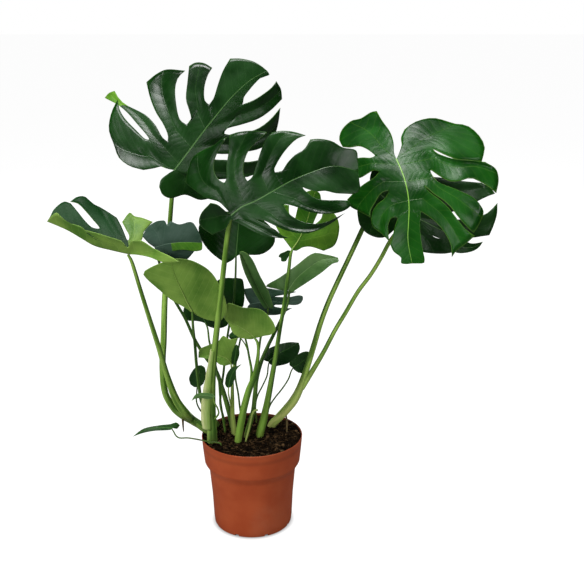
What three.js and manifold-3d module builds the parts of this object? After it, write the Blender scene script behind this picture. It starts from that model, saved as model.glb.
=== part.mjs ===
// Potted monstera: split and heart-shaped leaves on arching stalks in a round nursery pot of coarse soil.
// Millimetres, +Z up. The origin is the middle of the pot's flat resting face.
import * as THREE from "three";
import { mergeVertices } from "three/addons/utils/BufferGeometryUtils.js";
import Module from "manifold-3d";

const wasm = await Module();
wasm.setup();

// ---- driving sizes, mm ----
const potHeight = 160;
const rimRadius = 85;
const bandFootRadius = 80.4;
const bandFootHeight = 116;
const shoulderRadius = 73;
const shoulderHeight = 103;
const footRadius = 62.5;
const wall = 1.6;
const floorThickness = 3;
const restPadRadius = 30;
const footRingInner = 54;
const footRecess = 2;
const drainCount = 8;
const drainReach = 14;
const drainWidth = 7;
const drainHeight = 5;
const potSides = 36;

const soilGap = 0.35;
const soilEdgeHeight = 156.5;
const soilCrown = 159.5;
const soilBumps = 1.1;
const soilSides = potSides;

const seatGap = 0.35; // between a blade and the stalk that carries it, and between a stalk and its hole
const bladeThickness = 1.1;
const smallBladeThickness = 0.9;

// ---- the plant's picture plane ----
// Points on leaves and stalks are [across, up, back] in mm: across and up on a plane square to the line
// of sight through the pot's foot, back the distance behind the pot's axis.
const eyeAcross = 67.2;
const eyeBack = -1500;
const eyeUp = 892;
const eyeReach = 1700.9;
const sightUp = 390.7;
const sightTilt = (17.8 * Math.PI) / 180;

function ray(across, up) {
  const x = across - eyeAcross;
  const y = up - sightUp;
  return [
    x,
    eyeReach * Math.cos(sightTilt) + y * Math.sin(sightTilt),
    -eyeReach * Math.sin(sightTilt) + y * Math.cos(sightTilt),
  ];
}

function seen(across, up, back) {
  const d = ray(across, up);
  const t = (back - eyeBack) / d[1];
  return [eyeAcross + t * d[0], back, eyeUp + t * d[2]];
}

// The point of the picture that lies at a height above the pot's foot.
function level(across, up, height) {
  const d = ray(across, up);
  const t = (height - eyeUp) / d[2];
  return [eyeAcross + t * d[0], eyeBack + t * d[1], height];
}

// ---- small tools ----
const clamp = (v, lo, hi) => Math.min(hi, Math.max(lo, v));
const lerp = (a, b, t) => a.map((v, i) => v + (b[i] - v) * t);
const plus = (a, b, k = 1) => a.map((v, i) => v + b[i] * k);
const span = (a, b) => Math.hypot(...a.map((v, i) => v - b[i]));
const unit = (a) => {
  const m = Math.hypot(...a);
  return m < 1e-9 ? a.map(() => 0) : a.map((v) => v / m);
};
const cross = (a, b) => [
  a[1] * b[2] - a[2] * b[1],
  a[2] * b[0] - a[0] * b[2],
  a[0] * b[1] - a[1] * b[0],
];

// A smooth curve through points, read at a share s of its chord length.
function curveAt(points, s) {
  const n = points.length;
  if (n === 1) return points[0].slice();
  const at = [0];
  for (let i = 1; i < n; i++)
    at.push(at[i - 1] + Math.max(1e-6, span(points[i], points[i - 1])));
  const x = clamp(s, 0, 1) * at[n - 1];
  let i = 0;
  while (i < n - 2 && at[i + 1] < x) i++;
  const slope = (k) => {
    const a = Math.max(0, k - 1);
    const b = Math.min(n - 1, k + 1);
    return points[k].map((_, c) => (points[b][c] - points[a][c]) / (at[b] - at[a]));
  };
  const h = at[i + 1] - at[i];
  const u = (x - at[i]) / h;
  const m0 = slope(i);
  const m1 = slope(i + 1);
  const h00 = 2 * u ** 3 - 3 * u ** 2 + 1;
  const h10 = u ** 3 - 2 * u ** 2 + u;
  const h01 = -2 * u ** 3 + 3 * u ** 2;
  const h11 = u ** 3 - u ** 2;
  return points[i].map(
    (p, c) => h00 * p + h10 * h * m0[c] + h01 * points[i + 1][c] + h11 * h * m1[c],
  );
}

function meshOf(vertices, triangles) {
  return new wasm.Mesh({
    numProp: 3,
    vertProperties: new Float32Array(vertices.flat()),
    triVerts: new Uint32Array(triangles.flat()),
  });
}

function solidOf(vertices, triangles) {
  const solid = new wasm.Manifold(meshOf(vertices, triangles));
  if (solid.volume() > 0) return solid;
  return new wasm.Manifold(meshOf(vertices, triangles.map(([a, b, c]) => [a, c, b])));
}

function largestBody(solid) {
  const bodies = solid.decompose();
  bodies.sort((a, b) => b.volume() - a.volume());
  return bodies[0];
}

// A profile of [radius, height] points from axis to axis, turned round the Z axis.
function turned(profile, sides) {
  const points = profile.map(([r, z]) => new THREE.Vector2(r, z));
  return new THREE.LatheGeometry(points, sides).rotateX(Math.PI / 2);
}

function solidFrom(geometry) {
  const bare = new THREE.BufferGeometry();
  bare.setAttribute("position", geometry.getAttribute("position"));
  bare.setIndex(geometry.index);
  const merged = mergeVertices(bare, 1e-3);
  const spots = merged.getAttribute("position").array;
  const index = merged.index.array;
  const vertices = Array.from({ length: spots.length / 3 }, (_, i) => [
    spots[3 * i],
    spots[3 * i + 1],
    spots[3 * i + 2],
  ]);
  const triangles = [];
  for (let i = 0; i < index.length; i += 3) {
    const t = [index[i], index[i + 1], index[i + 2]];
    if (new Set(t).size === 3) triangles.push(t);
  }
  return solidOf(vertices, triangles);
}

// ---- pot ----
const potOutside = [
  [footRadius, 0],
  [65.4, 2.5],
  [66.7, 13],
  [68.6, 54],
  [72.6, 99],
  [shoulderRadius, shoulderHeight],
  [bandFootRadius, bandFootHeight],
  [rimRadius - 0.6, potHeight - 0.8],
  [rimRadius - 1, potHeight],
];
const potInside = [
  [rimRadius - wall, potHeight - 0.4],
  [bandFootRadius - wall, bandFootHeight + 0.6],
  [shoulderRadius - wall, shoulderHeight + 0.6],
  [72.6 - wall, 99],
  [68.6 - wall, 54],
  [66.7 - wall, 13],
  [65.4 - wall - 1, floorThickness + footRecess],
];

function makePot() {
  const under = [
    [0, 0],
    [restPadRadius, 0],
    [restPadRadius + 1.5, footRecess],
    [footRingInner - 1.5, footRecess],
    [footRingInner, 0],
  ];
  const profile = [...under, ...potOutside, ...potInside, [0, floorThickness + footRecess]];
  let pot = solidFrom(turned(profile, potSides));
  for (let k = 0; k < drainCount; k++) {
    const slot = new THREE.BoxGeometry(drainReach, drainWidth, drainHeight)
      .translate(footRadius + 1, 0, drainHeight / 2 - 0.5)
      .rotateZ((2 * Math.PI * (k + 0.5)) / drainCount);
    pot = pot.subtract(solidFrom(slot));
  }
  return pot;
}

// ---- soil ----
function soilTop(x, y) {
  const r = Math.hypot(x, y) / (rimRadius - wall);
  const dome = soilEdgeHeight + (soilCrown - soilEdgeHeight) * (1 - r * r);
  const bumps =
    Math.sin(x * 0.21 + 1.3 * Math.sin(y * 0.17)) * Math.cos(y * 0.19 - 0.7 * Math.sin(x * 0.13)) +
    0.6 * Math.sin(x * 0.43 + y * 0.37);
  return dome + soilBumps * bumps * clamp((1 - r) * 6, 0, 1);
}

function makeSoil() {
  const side = potInside.slice(1).map(([r, z]) => [r - soilGap, z]);
  side[side.length - 1][1] += soilGap;
  const topRadius = rimRadius - wall - soilGap - 0.35;
  const rings = [0.95, 0.8, 0.6, 0.4, 0.2, 0].map((k) => [topRadius * k, potHeight]);
  const profile = [[0, side[side.length - 1][1]], ...side.reverse(), [topRadius, soilEdgeHeight], ...rings];
  const geometry = turned(profile, soilSides);
  const spots = geometry.getAttribute("position");
  for (let i = 0; i < spots.count; i++)
    if (spots.getZ(i) === potHeight) spots.setZ(i, soilTop(spots.getX(i), spots.getY(i)));
  return solidFrom(geometry);
}

// ---- stalks ----
// A tapered round stalk: path points in world mm, with a radius at each.
function radiusOf(path, radii, s) {
  const reach = [0];
  for (let i = 1; i < path.length; i++) reach.push(reach[i - 1] + span(path[i], path[i - 1]));
  const x = s * reach[reach.length - 1];
  let i = 0;
  while (i < reach.length - 2 && reach[i + 1] < x) i++;
  return radii[i] + ((radii[i + 1] - radii[i]) * (x - reach[i])) / (reach[i + 1] - reach[i]);
}

function tube(path, radii, sides, extra = 0) {
  const length = path.slice(1).reduce((sum, p, i) => sum + span(p, path[i]), 0);
  const meanRadius = radii.reduce((a, b) => a + b) / radii.length;
  const steps = clamp(Math.round(length / (meanRadius * 6)), path.length - 1, 16);
  const vertices = [];
  const triangles = [];
  const along = [];
  for (let i = 0; i <= steps; i++) along.push(curveAt(path, i / steps));
  let side = null;
  for (let i = 0; i <= steps; i++) {
    const ahead = unit(plus(along[Math.min(steps, i + 1)], along[Math.max(0, i - 1)], -1));
    const guide = side || [1, 0, 0];
    side = unit(plus(guide, ahead, -(guide[0] * ahead[0] + guide[1] * ahead[1] + guide[2] * ahead[2])));
    const up = cross(ahead, side);
    const r = radiusOf(path, radii, i / steps) + extra;
    for (let k = 0; k < sides; k++) {
      const a = (2 * Math.PI * k) / sides;
      vertices.push(plus(plus(along[i], side, r * Math.cos(a)), up, r * Math.sin(a)));
    }
  }
  for (let i = 0; i < steps; i++)
    for (let k = 0; k < sides; k++) {
      const a = i * sides + k;
      const b = i * sides + ((k + 1) % sides);
      triangles.push([a, b, b + sides], [a, b + sides, a + sides]);
    }
  const first = vertices.push(along[0]) - 1;
  const last = vertices.push(along[steps]) - 1;
  for (let k = 0; k < sides; k++) {
    const k2 = (k + 1) % sides;
    triangles.push([first, k2, k], [last, steps * sides + k, steps * sides + k2]);
  }
  return solidOf(vertices, triangles);
}

// ---- blades ----
// A blade is a rib with lobes on both sides. Each lobe is [near edge, rim, far edge, gap end]: the near
// edge runs out from the last gap end, the rim from corner to corner, the far edge back in to the next
// gap end. The tip lobe is [near edge, rim] and closes on the end of the rib. The first lobe of a blade
// with several fans out from the foot of its rib, and the others stand side by side along it.
const gapRound = 2.6;
const lobeCrowd = 1.15;
const tipCrowd = 1.3;
const tipLocal = 4; // how fast the shape of a gap's edge fades across the tip lobe
const settlePasses = 12;
const settleSlack = 0.2;

function ribPoint(leaf, s) {
  return curveAt(leaf.rib, s);
}

function ribDistance(leaf, p) {
  let best = Infinity;
  for (let i = 0; i < 24; i++) {
    const a = ribPoint(leaf, i / 24);
    const b = ribPoint(leaf, (i + 1) / 24);
    const d = [b[0] - a[0], b[1] - a[1]];
    const t = clamp(((p[0] - a[0]) * d[0] + (p[1] - a[1]) * d[1]) / (d[0] ** 2 + d[1] ** 2), 0, 1);
    best = Math.min(best, Math.hypot(p[0] - a[0] - t * d[0], p[1] - a[1] - t * d[1]));
  }
  return best;
}

function depth(leaf, side, p, onRib) {
  const foot = leaf.rib[0];
  const tip = leaf.rib[leaf.rib.length - 1];
  const dir = unit([tip[0] - foot[0], tip[1] - foot[1]]);
  const a = (p[0] - foot[0]) * dir[0] + (p[1] - foot[1]) * dir[1];
  const q = onRib ? 0 : ribDistance(leaf, p);
  const [slope, bend] = leaf.fold[side];
  const [at, lean, bow] = leaf.lie;
  return at + lean * a + (bow * a * a) / 100 + slope * q + (bend * q * q) / 100 + (p[2] || 0);
}

const flat3 = (p) => [p[0], p[1], p[2] || 0];

// Twice the area of a triangle in the picture plane, positive where it faces as its side of the blade does.
const facing = (side, a, b, c) =>
  (side === "left" ? 1 : -1) * ((b[0] - a[0]) * (c[1] - a[1]) - (b[1] - a[1]) * (c[0] - a[0]));

const quadAt = (grid, r, c) => [grid[r][c], grid[r][c + 1], grid[r + 1][c + 1], grid[r + 1][c]];

// The smaller triangle of a quad, parted along its first or its second diagonal.
function splits([a, b, c, d], side) {
  const first = Math.min(facing(side, a, b, c), facing(side, a, c, d));
  const second = Math.min(facing(side, a, b, d), facing(side, b, c, d));
  return [first, second];
}

// Draws the inner points of a grid together wherever a quad of it has turned over.
function settle(grid, side) {
  const inside = (r, c) => r > 0 && c > 0 && r < grid.length - 1 && c < grid[0].length - 1;
  for (let pass = 0; pass < settlePasses; pass++)
    for (let r = 0; r + 1 < grid.length; r++)
      for (let c = 0; c + 1 < grid[0].length; c++) {
        if (Math.max(...splits(quadAt(grid, r, c), side)) > -settleSlack) continue;
        for (const [i, j] of [[r, c], [r, c + 1], [r + 1, c + 1], [r + 1, c]]) {
          if (!inside(i, j)) continue;
          const ends = lerp(grid[i - 1][j], grid[i + 1][j], 0.5);
          const sides = lerp(grid[i][j - 1], grid[i][j + 1], 0.5);
          grid[i][j] = lerp(grid[i][j], lerp(ends, sides, 0.5), 0.5);
        }
      }
  return grid;
}

// Points of one side of a blade: a list of grids, each grid[row][column] in the picture plane.
function bladeGrids(leaf, side, detail) {
  const { inner, outer, cells, tipCells } = detail;
  const lobes = leaf[side].slice(0, -1).map((l) => ({
    near: l[0].map(flat3),
    rim: l[1].map(flat3),
    far: l[2].map(flat3),
    end: flat3(l[3]),
  }));
  const tipLobe = leaf[side][leaf[side].length - 1];
  const rows = inner + outer;
  const foot = flat3(leaf.rib[0]);
  const tip = flat3(leaf.rib[leaf.rib.length - 1]);
  const reach = lobes.length ? leaf.reach : 0;
  const perLobe = lobes.length ? cells / lobes.length : 0;
  const mostLobes = Math.max(leaf.left.length, leaf.right.length) - 1;
  const footCells = mostLobes > 1 ? cells / mostLobes : 0;
  const root = (i) => {
    const along = Math.max(0, i - footCells) / (cells - footCells);
    return flat3(ribPoint(leaf, reach * along ** lobeCrowd));
  };
  const edge = (start, mids, end, j, otherFirst) => {
    const tau = (j / outer) ** 1.35;
    const points = [start, ...mids, end];
    const p = curveAt(points, tau);
    if (otherFirst) {
      const first = points[1];
      const away = [first[0] - otherFirst[0], first[1] - otherFirst[1]];
      const m = Math.hypot(...away) || 1;
      const k = gapRound * 3 * (Math.sqrt(tau) - tau) * Math.exp(-3 * tau);
      p[0] += (away[0] / m) * k;
      p[1] += (away[1] / m) * k;
    }
    return p;
  };
  const firstOf = (i) => {
    if (i < lobes.length) return lobes[i].near[0] || lobes[i].rim[0];
    return flat3((tipLobe[0][0] || tipLobe[1][0]));
  };
  const lastOf = (i) => lobes[i].far[lobes[i].far.length - 1] || lobes[i].rim[lobes[i].rim.length - 1];
  const grids = [];
  const patch = (near, far, base, rim, columns, nearFade = 1) => {
    const bulge = (side, row) => plus(side(row), lerp(side(0), side(rows), row / rows), -1);
    const grid = [];
    for (let row = 0; row <= rows; row++) {
      const line = [];
      for (let j = 0; j <= columns; j++) {
        const u = j / columns;
        const across = lerp(base(j), rim(j), row / rows);
        const bent = plus(across, bulge(near, row), (1 - u) ** nearFade);
        line.push(plus(bent, bulge(far, row), u));
      }
      grid.push(line);
    }
    return settle(grid, side);
  };
  lobes.forEach((lobe, i) => {
    const c0 = lobe.rim[0];
    const c1 = lobe.rim[lobe.rim.length - 1];
    const near =
      i === 0
        ? (row) => curveAt([foot, ...lobe.near, c0], row / rows)
        : (row) => {
            const end = lobes[i - 1].end;
            if (row <= inner) return lerp(root(i * perLobe), end, row / inner);
            return edge(end, lobe.near, c0, row - inner, lastOf(i - 1));
          };
    const far = (row) => {
      if (row <= inner) return lerp(root((i + 1) * perLobe), lobe.end, row / inner);
      return edge(lobe.end, lobe.far.slice().reverse(), c1, row - inner, firstOf(i + 1));
    };
    const base = (j) => root(i * perLobe + j);
    const rim = (j) => curveAt(lobe.rim, j / perLobe);
    grids.push(patch(near, far, base, rim, perLobe));
  });
  const n = lobes.length;
  const nearMids = tipLobe[0].map(flat3);
  const rimPoints = [...tipLobe[1].map(flat3), tip];
  const near = n
    ? (row) => {
        const end = lobes[n - 1].end;
        if (row <= inner) return lerp(root(cells), end, row / inner);
        return edge(end, nearMids, rimPoints[0], row - inner, lastOf(n - 1));
      }
    : (row) => curveAt([foot, ...nearMids, rimPoints[0]], row / rows);
  const base = (j) => flat3(ribPoint(leaf, reach + (1 - reach) * (j / tipCells) ** tipCrowd));
  const rim = (j) => curveAt(rimPoints, j / tipCells);
  grids.push(patch(near, () => tip, base, rim, tipCells, tipLocal));
  return grids;
}

// Both sides of a blade as one sheet of world points and triangles.
function bladeSheet(leaf, detail) {
  const vertices = [];
  const keys = new Map();
  const triangles = [];
  const index = (p) => {
    const key = p.map((v) => Math.round(v * 500)).join(",");
    if (!keys.has(key)) keys.set(key, vertices.push(p) - 1);
    return keys.get(key);
  };
  for (const side of ["left", "right"]) {
    const grids = bladeGrids(leaf, side, detail);
    for (const grid of grids) {
      const isTip = grid === grids[grids.length - 1];
      const ids = grid.map((line, r) =>
        line.map((p, c) => {
          const onRib = r === 0 || (isTip && c === line.length - 1);
          return index(seen(p[0], p[1], depth(leaf, side, p, onRib)));
        }),
      );
      for (let r = 0; r + 1 < ids.length; r++)
        for (let c = 0; c + 1 < ids[r].length; c++) {
          const quad = [ids[r][c], ids[r][c + 1], ids[r + 1][c + 1], ids[r + 1][c]];
          const [first, second] = splits(quadAt(grid, r, c), side);
          if (second > first) quad.push(quad.shift());
          if (side === "left") quad.reverse();
          for (const t of [
            [quad[0], quad[1], quad[2]],
            [quad[0], quad[2], quad[3]],
          ])
            if (new Set(t).size === 3) triangles.push(t);
        }
    }
  }
  return [vertices, triangles];
}

// A sheet made solid, half the thickness to each side.
function slab([vertices, triangles], thickness) {
  const normals = vertices.map(() => [0, 0, 0]);
  for (const [a, b, c] of triangles) {
    const n = cross(plus(vertices[b], vertices[a], -1), plus(vertices[c], vertices[a], -1));
    for (const i of [a, b, c]) normals[i] = plus(normals[i], n);
  }
  const n = vertices.length;
  const faces = [];
  const edges = new Map();
  for (const [a, b, c] of triangles) {
    faces.push([a, b, c], [a + n, c + n, b + n]);
    for (const [i, j] of [
      [a, b],
      [b, c],
      [c, a],
    ]) {
      if (edges.has(j + "_" + i)) edges.delete(j + "_" + i);
      else edges.set(i + "_" + j, [i, j]);
    }
  }
  for (const [i, j] of edges.values()) faces.push([j, i, i + n], [j, i + n, j + n]);
  const all = [];
  for (const k of [0.5, -0.5])
    vertices.forEach((v, i) => all.push(plus(v, unit(normals[i]), thickness * k)));
  return solidOf(all, faces);
}

const bigDetail = { inner: 2, outer: 3, cells: 12, tipCells: 4 };
const fineDetail = { inner: 2, outer: 3, cells: 16, tipCells: 4 };
const heartDetail = { inner: 2, outer: 2, cells: 0, tipCells: 7 };
const smallDetail = { inner: 1, outer: 2, cells: 0, tipCells: 5 };

// ---- the leaves ----
const leaves = {
  leaf_top_left: {
    detail: fineDetail,
    rib: [[-137, 602], [-117, 628], [-84, 672], [-60, 702], [-35, 731], [-5, 758], [24, 774]],
    reach: 0.46,
    lie: [40, 0.5, -0.05],
    fold: { left: [0.05, 0.16], right: [0.12, 0.2] },
    left: [
      [
        [[-148, 604], [-158, 608], [-172, 605]],
        [[-190, 602], [-214, 609], [-233, 624], [-241, 645], [-250, 672], [-246, 700], [-235, 724]],
        [[-231, 706], [-221, 690], [-200, 669], [-187, 657]],
        [-180, 655],
      ],
      [
        [[-186, 663], [-202, 682], [-217, 700], [-233, 714]],
        [[-257, 727], [-250, 735], [-240, 739]],
        [[-231, 724], [-217, 713], [-202, 706], [-184, 696], [-168, 679], [-157, 660]],
        [-149, 652],
      ],
      [
        [[-149, 662], [-157, 682], [-169, 702], [-179, 728]],
        [[-185, 754], [-168, 768], [-150, 776], [-118, 774]],
        [[-130, 762], [-135, 742], [-132, 712], [-126, 690]],
        [-116, 681],
      ],
      [
        [[-109, 690], [-112, 706], [-117, 725], [-114, 755]],
        [[-111, 782], [-100, 788], [-85, 787], [-71, 779]],
        [[-79, 765], [-84, 745], [-83, 724]],
        [-77, 716],
      ],
      [
        [[-70, 726], [-61, 752], [-52, 775]],
        [[-40, 795], [-22, 795], [0, 790], [14, 782]],
      ],
    ],
    right: [
      [
        [[-147, 596], [-160, 585]],
        [[-163, 573], [-157, 559], [-143, 553], [-118, 559], [-93, 550], [-78, 552]],
        [[-70, 566], [-72, 580]],
        [-84, 592],
      ],
      [
        [[-76, 586], [-62, 585], [-40, 587]],
        [[-10, 590], [14, 600], [20, 622]],
        [[4, 618], [-14, 616], [-46, 620], [-66, 621]],
        [-84, 625],
      ],
      [
        [[-74, 629], [-46, 629], [-8, 634], [14, 640]],
        [[36, 655], [43, 682], [47, 710]],
        [[32, 692], [15, 678], [0, 671], [-20, 667], [-38, 664]],
        [-50, 665],
      ],
      [
        [[-46, 672], [-20, 680], [8, 690], [30, 705]],
        [[50, 725], [48, 742], [40, 756]],
        [[33, 746], [18, 734], [0, 723]],
        [-18, 716],
      ],
      [
        [],
        [[-17.5, 719], [-16, 728], [-8, 739], [3, 752], [14, 762], [28, 767]],
      ],
    ],
  },
  leaf_front: {
    detail: bigDetail,
    rib: [[-38, 524], [-20, 538], [5, 549], [35, 566], [65, 583], [100, 598], [140, 609], [182, 600]],
    reach: 0.42,
    lie: [-95, -0.05, 0.08],
    fold: { left: [0.15, 0.15], right: [-0.5, 0.18] },
    left: [
      [
        [[-47, 535], [-60, 547], [-80, 553], [-100, 566]],
        [[-117, 580], [-113, 602], [-104, 624], [-88, 636], [-68, 645], [-55, 655], [-46, 659]],
        [[-58, 640], [-67, 618], [-67, 600], [-60, 587]],
        [-50, 580],
      ],
      [
        [[-47, 590], [-47, 608], [-43, 632]],
        [[-41, 663], [-24, 668], [0, 670], [24, 668]],
        [[8, 653], [-7, 637], [-15, 616], [-16, 597]],
        [-10, 583],
      ],
      [
        [[-2, 592], [6, 614], [15, 640], [23, 656]],
        [[33, 667], [50, 670], [70, 668], [91, 662]],
        [[76, 656], [62, 643], [50, 627], [38, 604]],
        [38, 598],
      ],
      [
        [[48, 600], [58, 614], [72, 628], [88, 638]],
        [[99, 655], [114, 656], [136, 652], [155, 641], [178, 636], [181, 618]],
      ],
    ],
    right: [
      [
        [[-48, 531], [-62, 542]],
        [[-74, 545], [-90, 527], [-94, 510], [-86, 500], [-71, 490]],
        [[-59, 495], [-46, 502], [-41, 510]],
        [-38, 516],
      ],
      [
        [[-33, 513], [-20, 506], [0, 496], [22, 487]],
        [[44, 484], [62, 484]],
        [[50, 489], [38, 499], [22, 508]],
        [6, 516],
      ],
      [
        [[20, 513], [38, 505], [55, 498], [75, 493]],
        [[95, 492], [118, 500], [138, 512], [160, 528]],
        [[144, 520], [126, 512], [108, 509], [88, 512], [72, 520], [60, 530]],
        [53, 542],
      ],
      [
        [[60, 541], [76, 537], [95, 530]],
        [[115, 526], [142, 527], [160, 533], [169, 541], [166, 549]],
        [[145, 550], [118, 551], [104, 556], [94, 564]],
        [86, 571],
      ],
      [
        [],
        [[94, 569], [108, 565], [125, 566], [142, 562], [160, 561], [177, 561], [185, 568], [184, 582]],
      ],
    ],
  },
  leaf_right: {
    detail: fineDetail,
    rib: [[248, 621], [256, 603], [263, 583], [268, 560], [270, 535], [269, 510], [268, 480], [275, 440]],
    reach: 0.5,
    lie: [8, -0.75, 0.15],
    fold: { left: [0.1, 0.09], right: [0.1, 0.2] },
    left: [
      [
        [[253, 632], [257, 645], [256, 658]],
        [[262, 672], [280, 685], [312, 692], [350, 682], [370, 679], [390, 663], [401, 642, 1], [396, 617, 3]],
        [[380, 616, 3], [357, 619, 3], [335, 627, 2]],
        [312, 638, 3],
      ],
      [
        [[318, 632], [332, 626], [350, 621, -2], [375, 619, -4]],
        [[402, 616, -4], [420, 604], [425, 585], [421, 562]],
        [[411, 571], [396, 580], [377, 588], [358, 583], [340, 582, 4], [320, 592, 5]],
        [307, 602, 2],
      ],
      [
        [[314, 588], [328, 578], [346, 571], [366, 562], [380, 555]],
        [[391, 545], [399, 530], [393, 511], [382, 493]],
        [[371, 503], [354, 522], [341, 539], [327, 551], [312, 561]],
        [297, 574],
      ],
      [
        [[308, 562], [324, 550], [338, 537], [352, 519], [368, 499]],
        [[384, 488], [368, 474], [352, 462], [344, 451]],
        [[343, 470], [335, 488], [322, 506], [306, 520]],
        [291, 530],
      ],
      [
        [],
        [[290.5, 527], [289, 518], [289, 500], [291, 480], [294, 462], [297, 448], [296, 441], [285, 440]],
      ],
    ],
    right: [
      [
        [[244, 632], [243, 650], [237, 668], [223, 688]],
        [[214, 704], [204, 702], [186, 691], [170, 687], [154, 672], [149, 655], [155, 642]],
        [[168, 641], [184, 643], [198, 637]],
        [211, 627],
      ],
      [
        [[202, 624], [190, 624], [178, 622]],
        [[164, 618], [158, 605], [166, 590]],
        [[184, 588], [198, 595], [208, 600]],
        [218, 599],
      ],
      [
        [[208, 589], [196, 581], [182, 570]],
        [[163, 551], [168, 539], [184, 530], [203, 520]],
        [[203, 531], [211, 545], [221, 560]],
        [235, 566],
      ],
      [
        [[227, 553], [217, 545], [208, 532]],
        [[204, 516], [208, 503], [222, 492], [236, 478]],
        [[234, 492], [234, 507], [240, 518]],
        [250, 519],
      ],
      [
        [[246, 507], [243, 495], [241, 484]],
        [[237, 474], [243, 461], [256, 450], [256, 441], [264, 439]],
      ],
    ],
  },
  leaf_right_rear: {
    detail: { ...bigDetail, tipCells: 6 },
    rib: [[216, 563], [250, 538], [300, 511], [336, 492], [351, 477], [365, 468], [381, 468], [398, 478]],
    reach: 0.53,
    lie: [66, 0.05, 0.02],
    fold: { left: [0.2, 0.08], right: [-0.35, 0.1] },
    left: [
      [
        [[208, 574], [202, 586]],
        [[205, 600], [225, 618], [262, 622]],
        [[272, 606], [268, 582]],
        [262, 566],
      ],
      [
        [[280, 580], [310, 590], [352, 584]],
        [[395, 580], [411, 571], [419, 561]],
        [[405, 556], [389, 548], [360, 534], [330, 526]],
        [305, 528],
      ],
      [
        [[325, 518], [360, 517], [385, 520], [406, 528]],
        [[423, 545], [422, 525], [416, 505], [409, 489]],
        [[395, 487], [378, 485], [360, 492]],
        [332, 502],
      ],
      [
        [[343, 498]],
        [[354, 488], [364, 480], [378, 475], [390, 476]],
      ],
    ],
    right: [
      [
        [[204, 559], [188, 549]],
        [[180, 530], [184, 508], [196, 493], [214, 485], [229, 486], [243, 497]],
        [[252, 508]],
        [258, 520],
      ],
      [
        [[262, 507], [268, 490], [274, 474]],
        [[283, 462], [305, 458], [330, 457], [345, 459]],
        [[343, 469], [336, 480], [324, 483], [314, 486]],
        [306, 491],
      ],
      [
        [],
        [[311, 488], [321, 484], [331, 479], [339, 473], [345, 466], [351, 459], [365, 458], [382, 462], [392, 469]],
      ],
    ],
  },
  leaf_left: {
    detail: { inner: 2, outer: 3, cells: 8, tipCells: 4 },
    rib: [[-214, 456], [-245, 463], [-275, 471], [-298, 484], [-320, 497], [-342, 507], [-357, 513]],
    reach: 0.27,
    lie: [-58, 0, 0],
    fold: { left: [-0.95, 0.35], right: [0.85, 0.1] },
    left: [
      [
        [[-200, 455], [-180, 451], [-155, 442]],
        [[-127, 443], [-145, 453], [-172, 466], [-195, 480], [-212, 479]],
        [[-216, 473]],
        [-218, 468],
      ],
      [
        [[-222, 473]],
        [[-230, 480], [-250, 486], [-272, 493], [-292, 498]],
        [[-280, 489], [-266, 480]],
        [-252, 474],
      ],
      [
        [],
        [[-262, 478.5], [-275, 483], [-286, 491], [-297, 503], [-320, 511], [-333, 521], [-341, 528], [-352, 520]],
      ],
    ],
    right: [
      [
        [[-205, 468], [-193, 481], [-189, 495]],
        [[-174, 512], [-192, 519], [-206, 522], [-214, 528], [-227, 512]],
        [[-221, 500], [-216, 489]],
        [-217, 480],
      ],
      [
        [[-221, 489], [-228, 504]],
        [[-236, 519], [-262, 536], [-280, 545], [-292, 556], [-306, 555], [-317, 547]],
        [[-304, 544], [-290, 530], [-276, 513]],
        [-266, 501],
      ],
      [
        [[-278, 503], [-290, 513], [-305, 531]],
        [[-316, 544], [-328, 547], [-345, 534], [-352, 521]],
      ],
    ],
  },
  leaf_left_rear: {
    detail: { inner: 2, outer: 2, cells: 4, tipCells: 6 },
    rib: [[-171, 468], [-150, 474], [-120, 477], [-88, 476]],
    reach: 0.35,
    lie: [-46, 0.1, 0],
    fold: { left: [0.1, 0.2], right: [-0.3, 0.4] },
    left: [
      [
        [[-182, 476]],
        [[-192, 487], [-184, 502], [-168, 513], [-155, 515]],
        [[-152, 513]],
        [-149, 508],
      ],
      [
        [[-146, 512]],
        [[-142, 513], [-128, 508], [-107, 512], [-96, 498]],
      ],
    ],
    right: [
      [
        [[-168, 461]],
        [[-158, 454], [-140, 445], [-118, 445], [-100, 463, 3]],
        [[-120, 465, 3]],
        [-140, 462],
      ],
      [
        [[-122, 464]],
        [[-98, 461], [-89, 464]],
      ],
    ],
  },
  leaf_under_left: {
    detail: heartDetail,
    rib: [[-104, 354], [-112, 368], [-124, 393], [-136, 420], [-143, 446]],
    lie: [-44, -0.25, 0],
    fold: { left: [0.1, 0.1], right: [-0.1, 0.12] },
    left: [[[], [[-109, 357], [-117, 363], [-140, 376], [-160, 392], [-191, 422], [-182, 431], [-160, 441]]]],
    right: [[[[-97, 350]], [[-84, 344], [-60, 340], [-46, 353], [-50, 383], [-72, 424], [-103, 444], [-130, 449]]]],
  },
  leaf_under_middle: {
    detail: heartDetail,
    rib: [[3, 311], [-8, 321], [-28, 333], [-50, 345]],
    lie: [-18, 0.05, 0],
    fold: { left: [-0.1, 0.1], right: [-0.15, 0.15] },
    left: [[[[-2, 309]], [[-10, 309], [-24, 312], [-36, 321], [-41, 333]]]],
    right: [[[[9, 312]], [[18, 315], [32, 317], [39, 325], [32, 343], [12, 361], [-18, 364], [-45, 371]]]],
  },
  leaf_behind_front: {
    detail: heartDetail,
    rib: [[-30, 452], [-28, 475], [-26, 500], [-24, 530]],
    lie: [-12, 0.15, 0],
    fold: { left: [0.15, 0.3], right: [0.15, 0.3] },
    left: [[[[-36, 446]], [[-47, 440], [-66, 453], [-82, 469], [-94, 492], [-92, 510], [-70, 528]]]],
    right: [[[[-24, 455]], [[-12, 455], [14, 456], [33, 469], [38, 485], [28, 506], [2, 524]]]],
  },
  leaf_folded: {
    detail: smallDetail,
    rib: [[27, 363], [16, 382], [2, 410], [-12, 440], [-23, 461]],
    lie: [6, -0.3, 0],
    fold: { left: [-0.8, 0], right: [-1.1, 0] },
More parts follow.
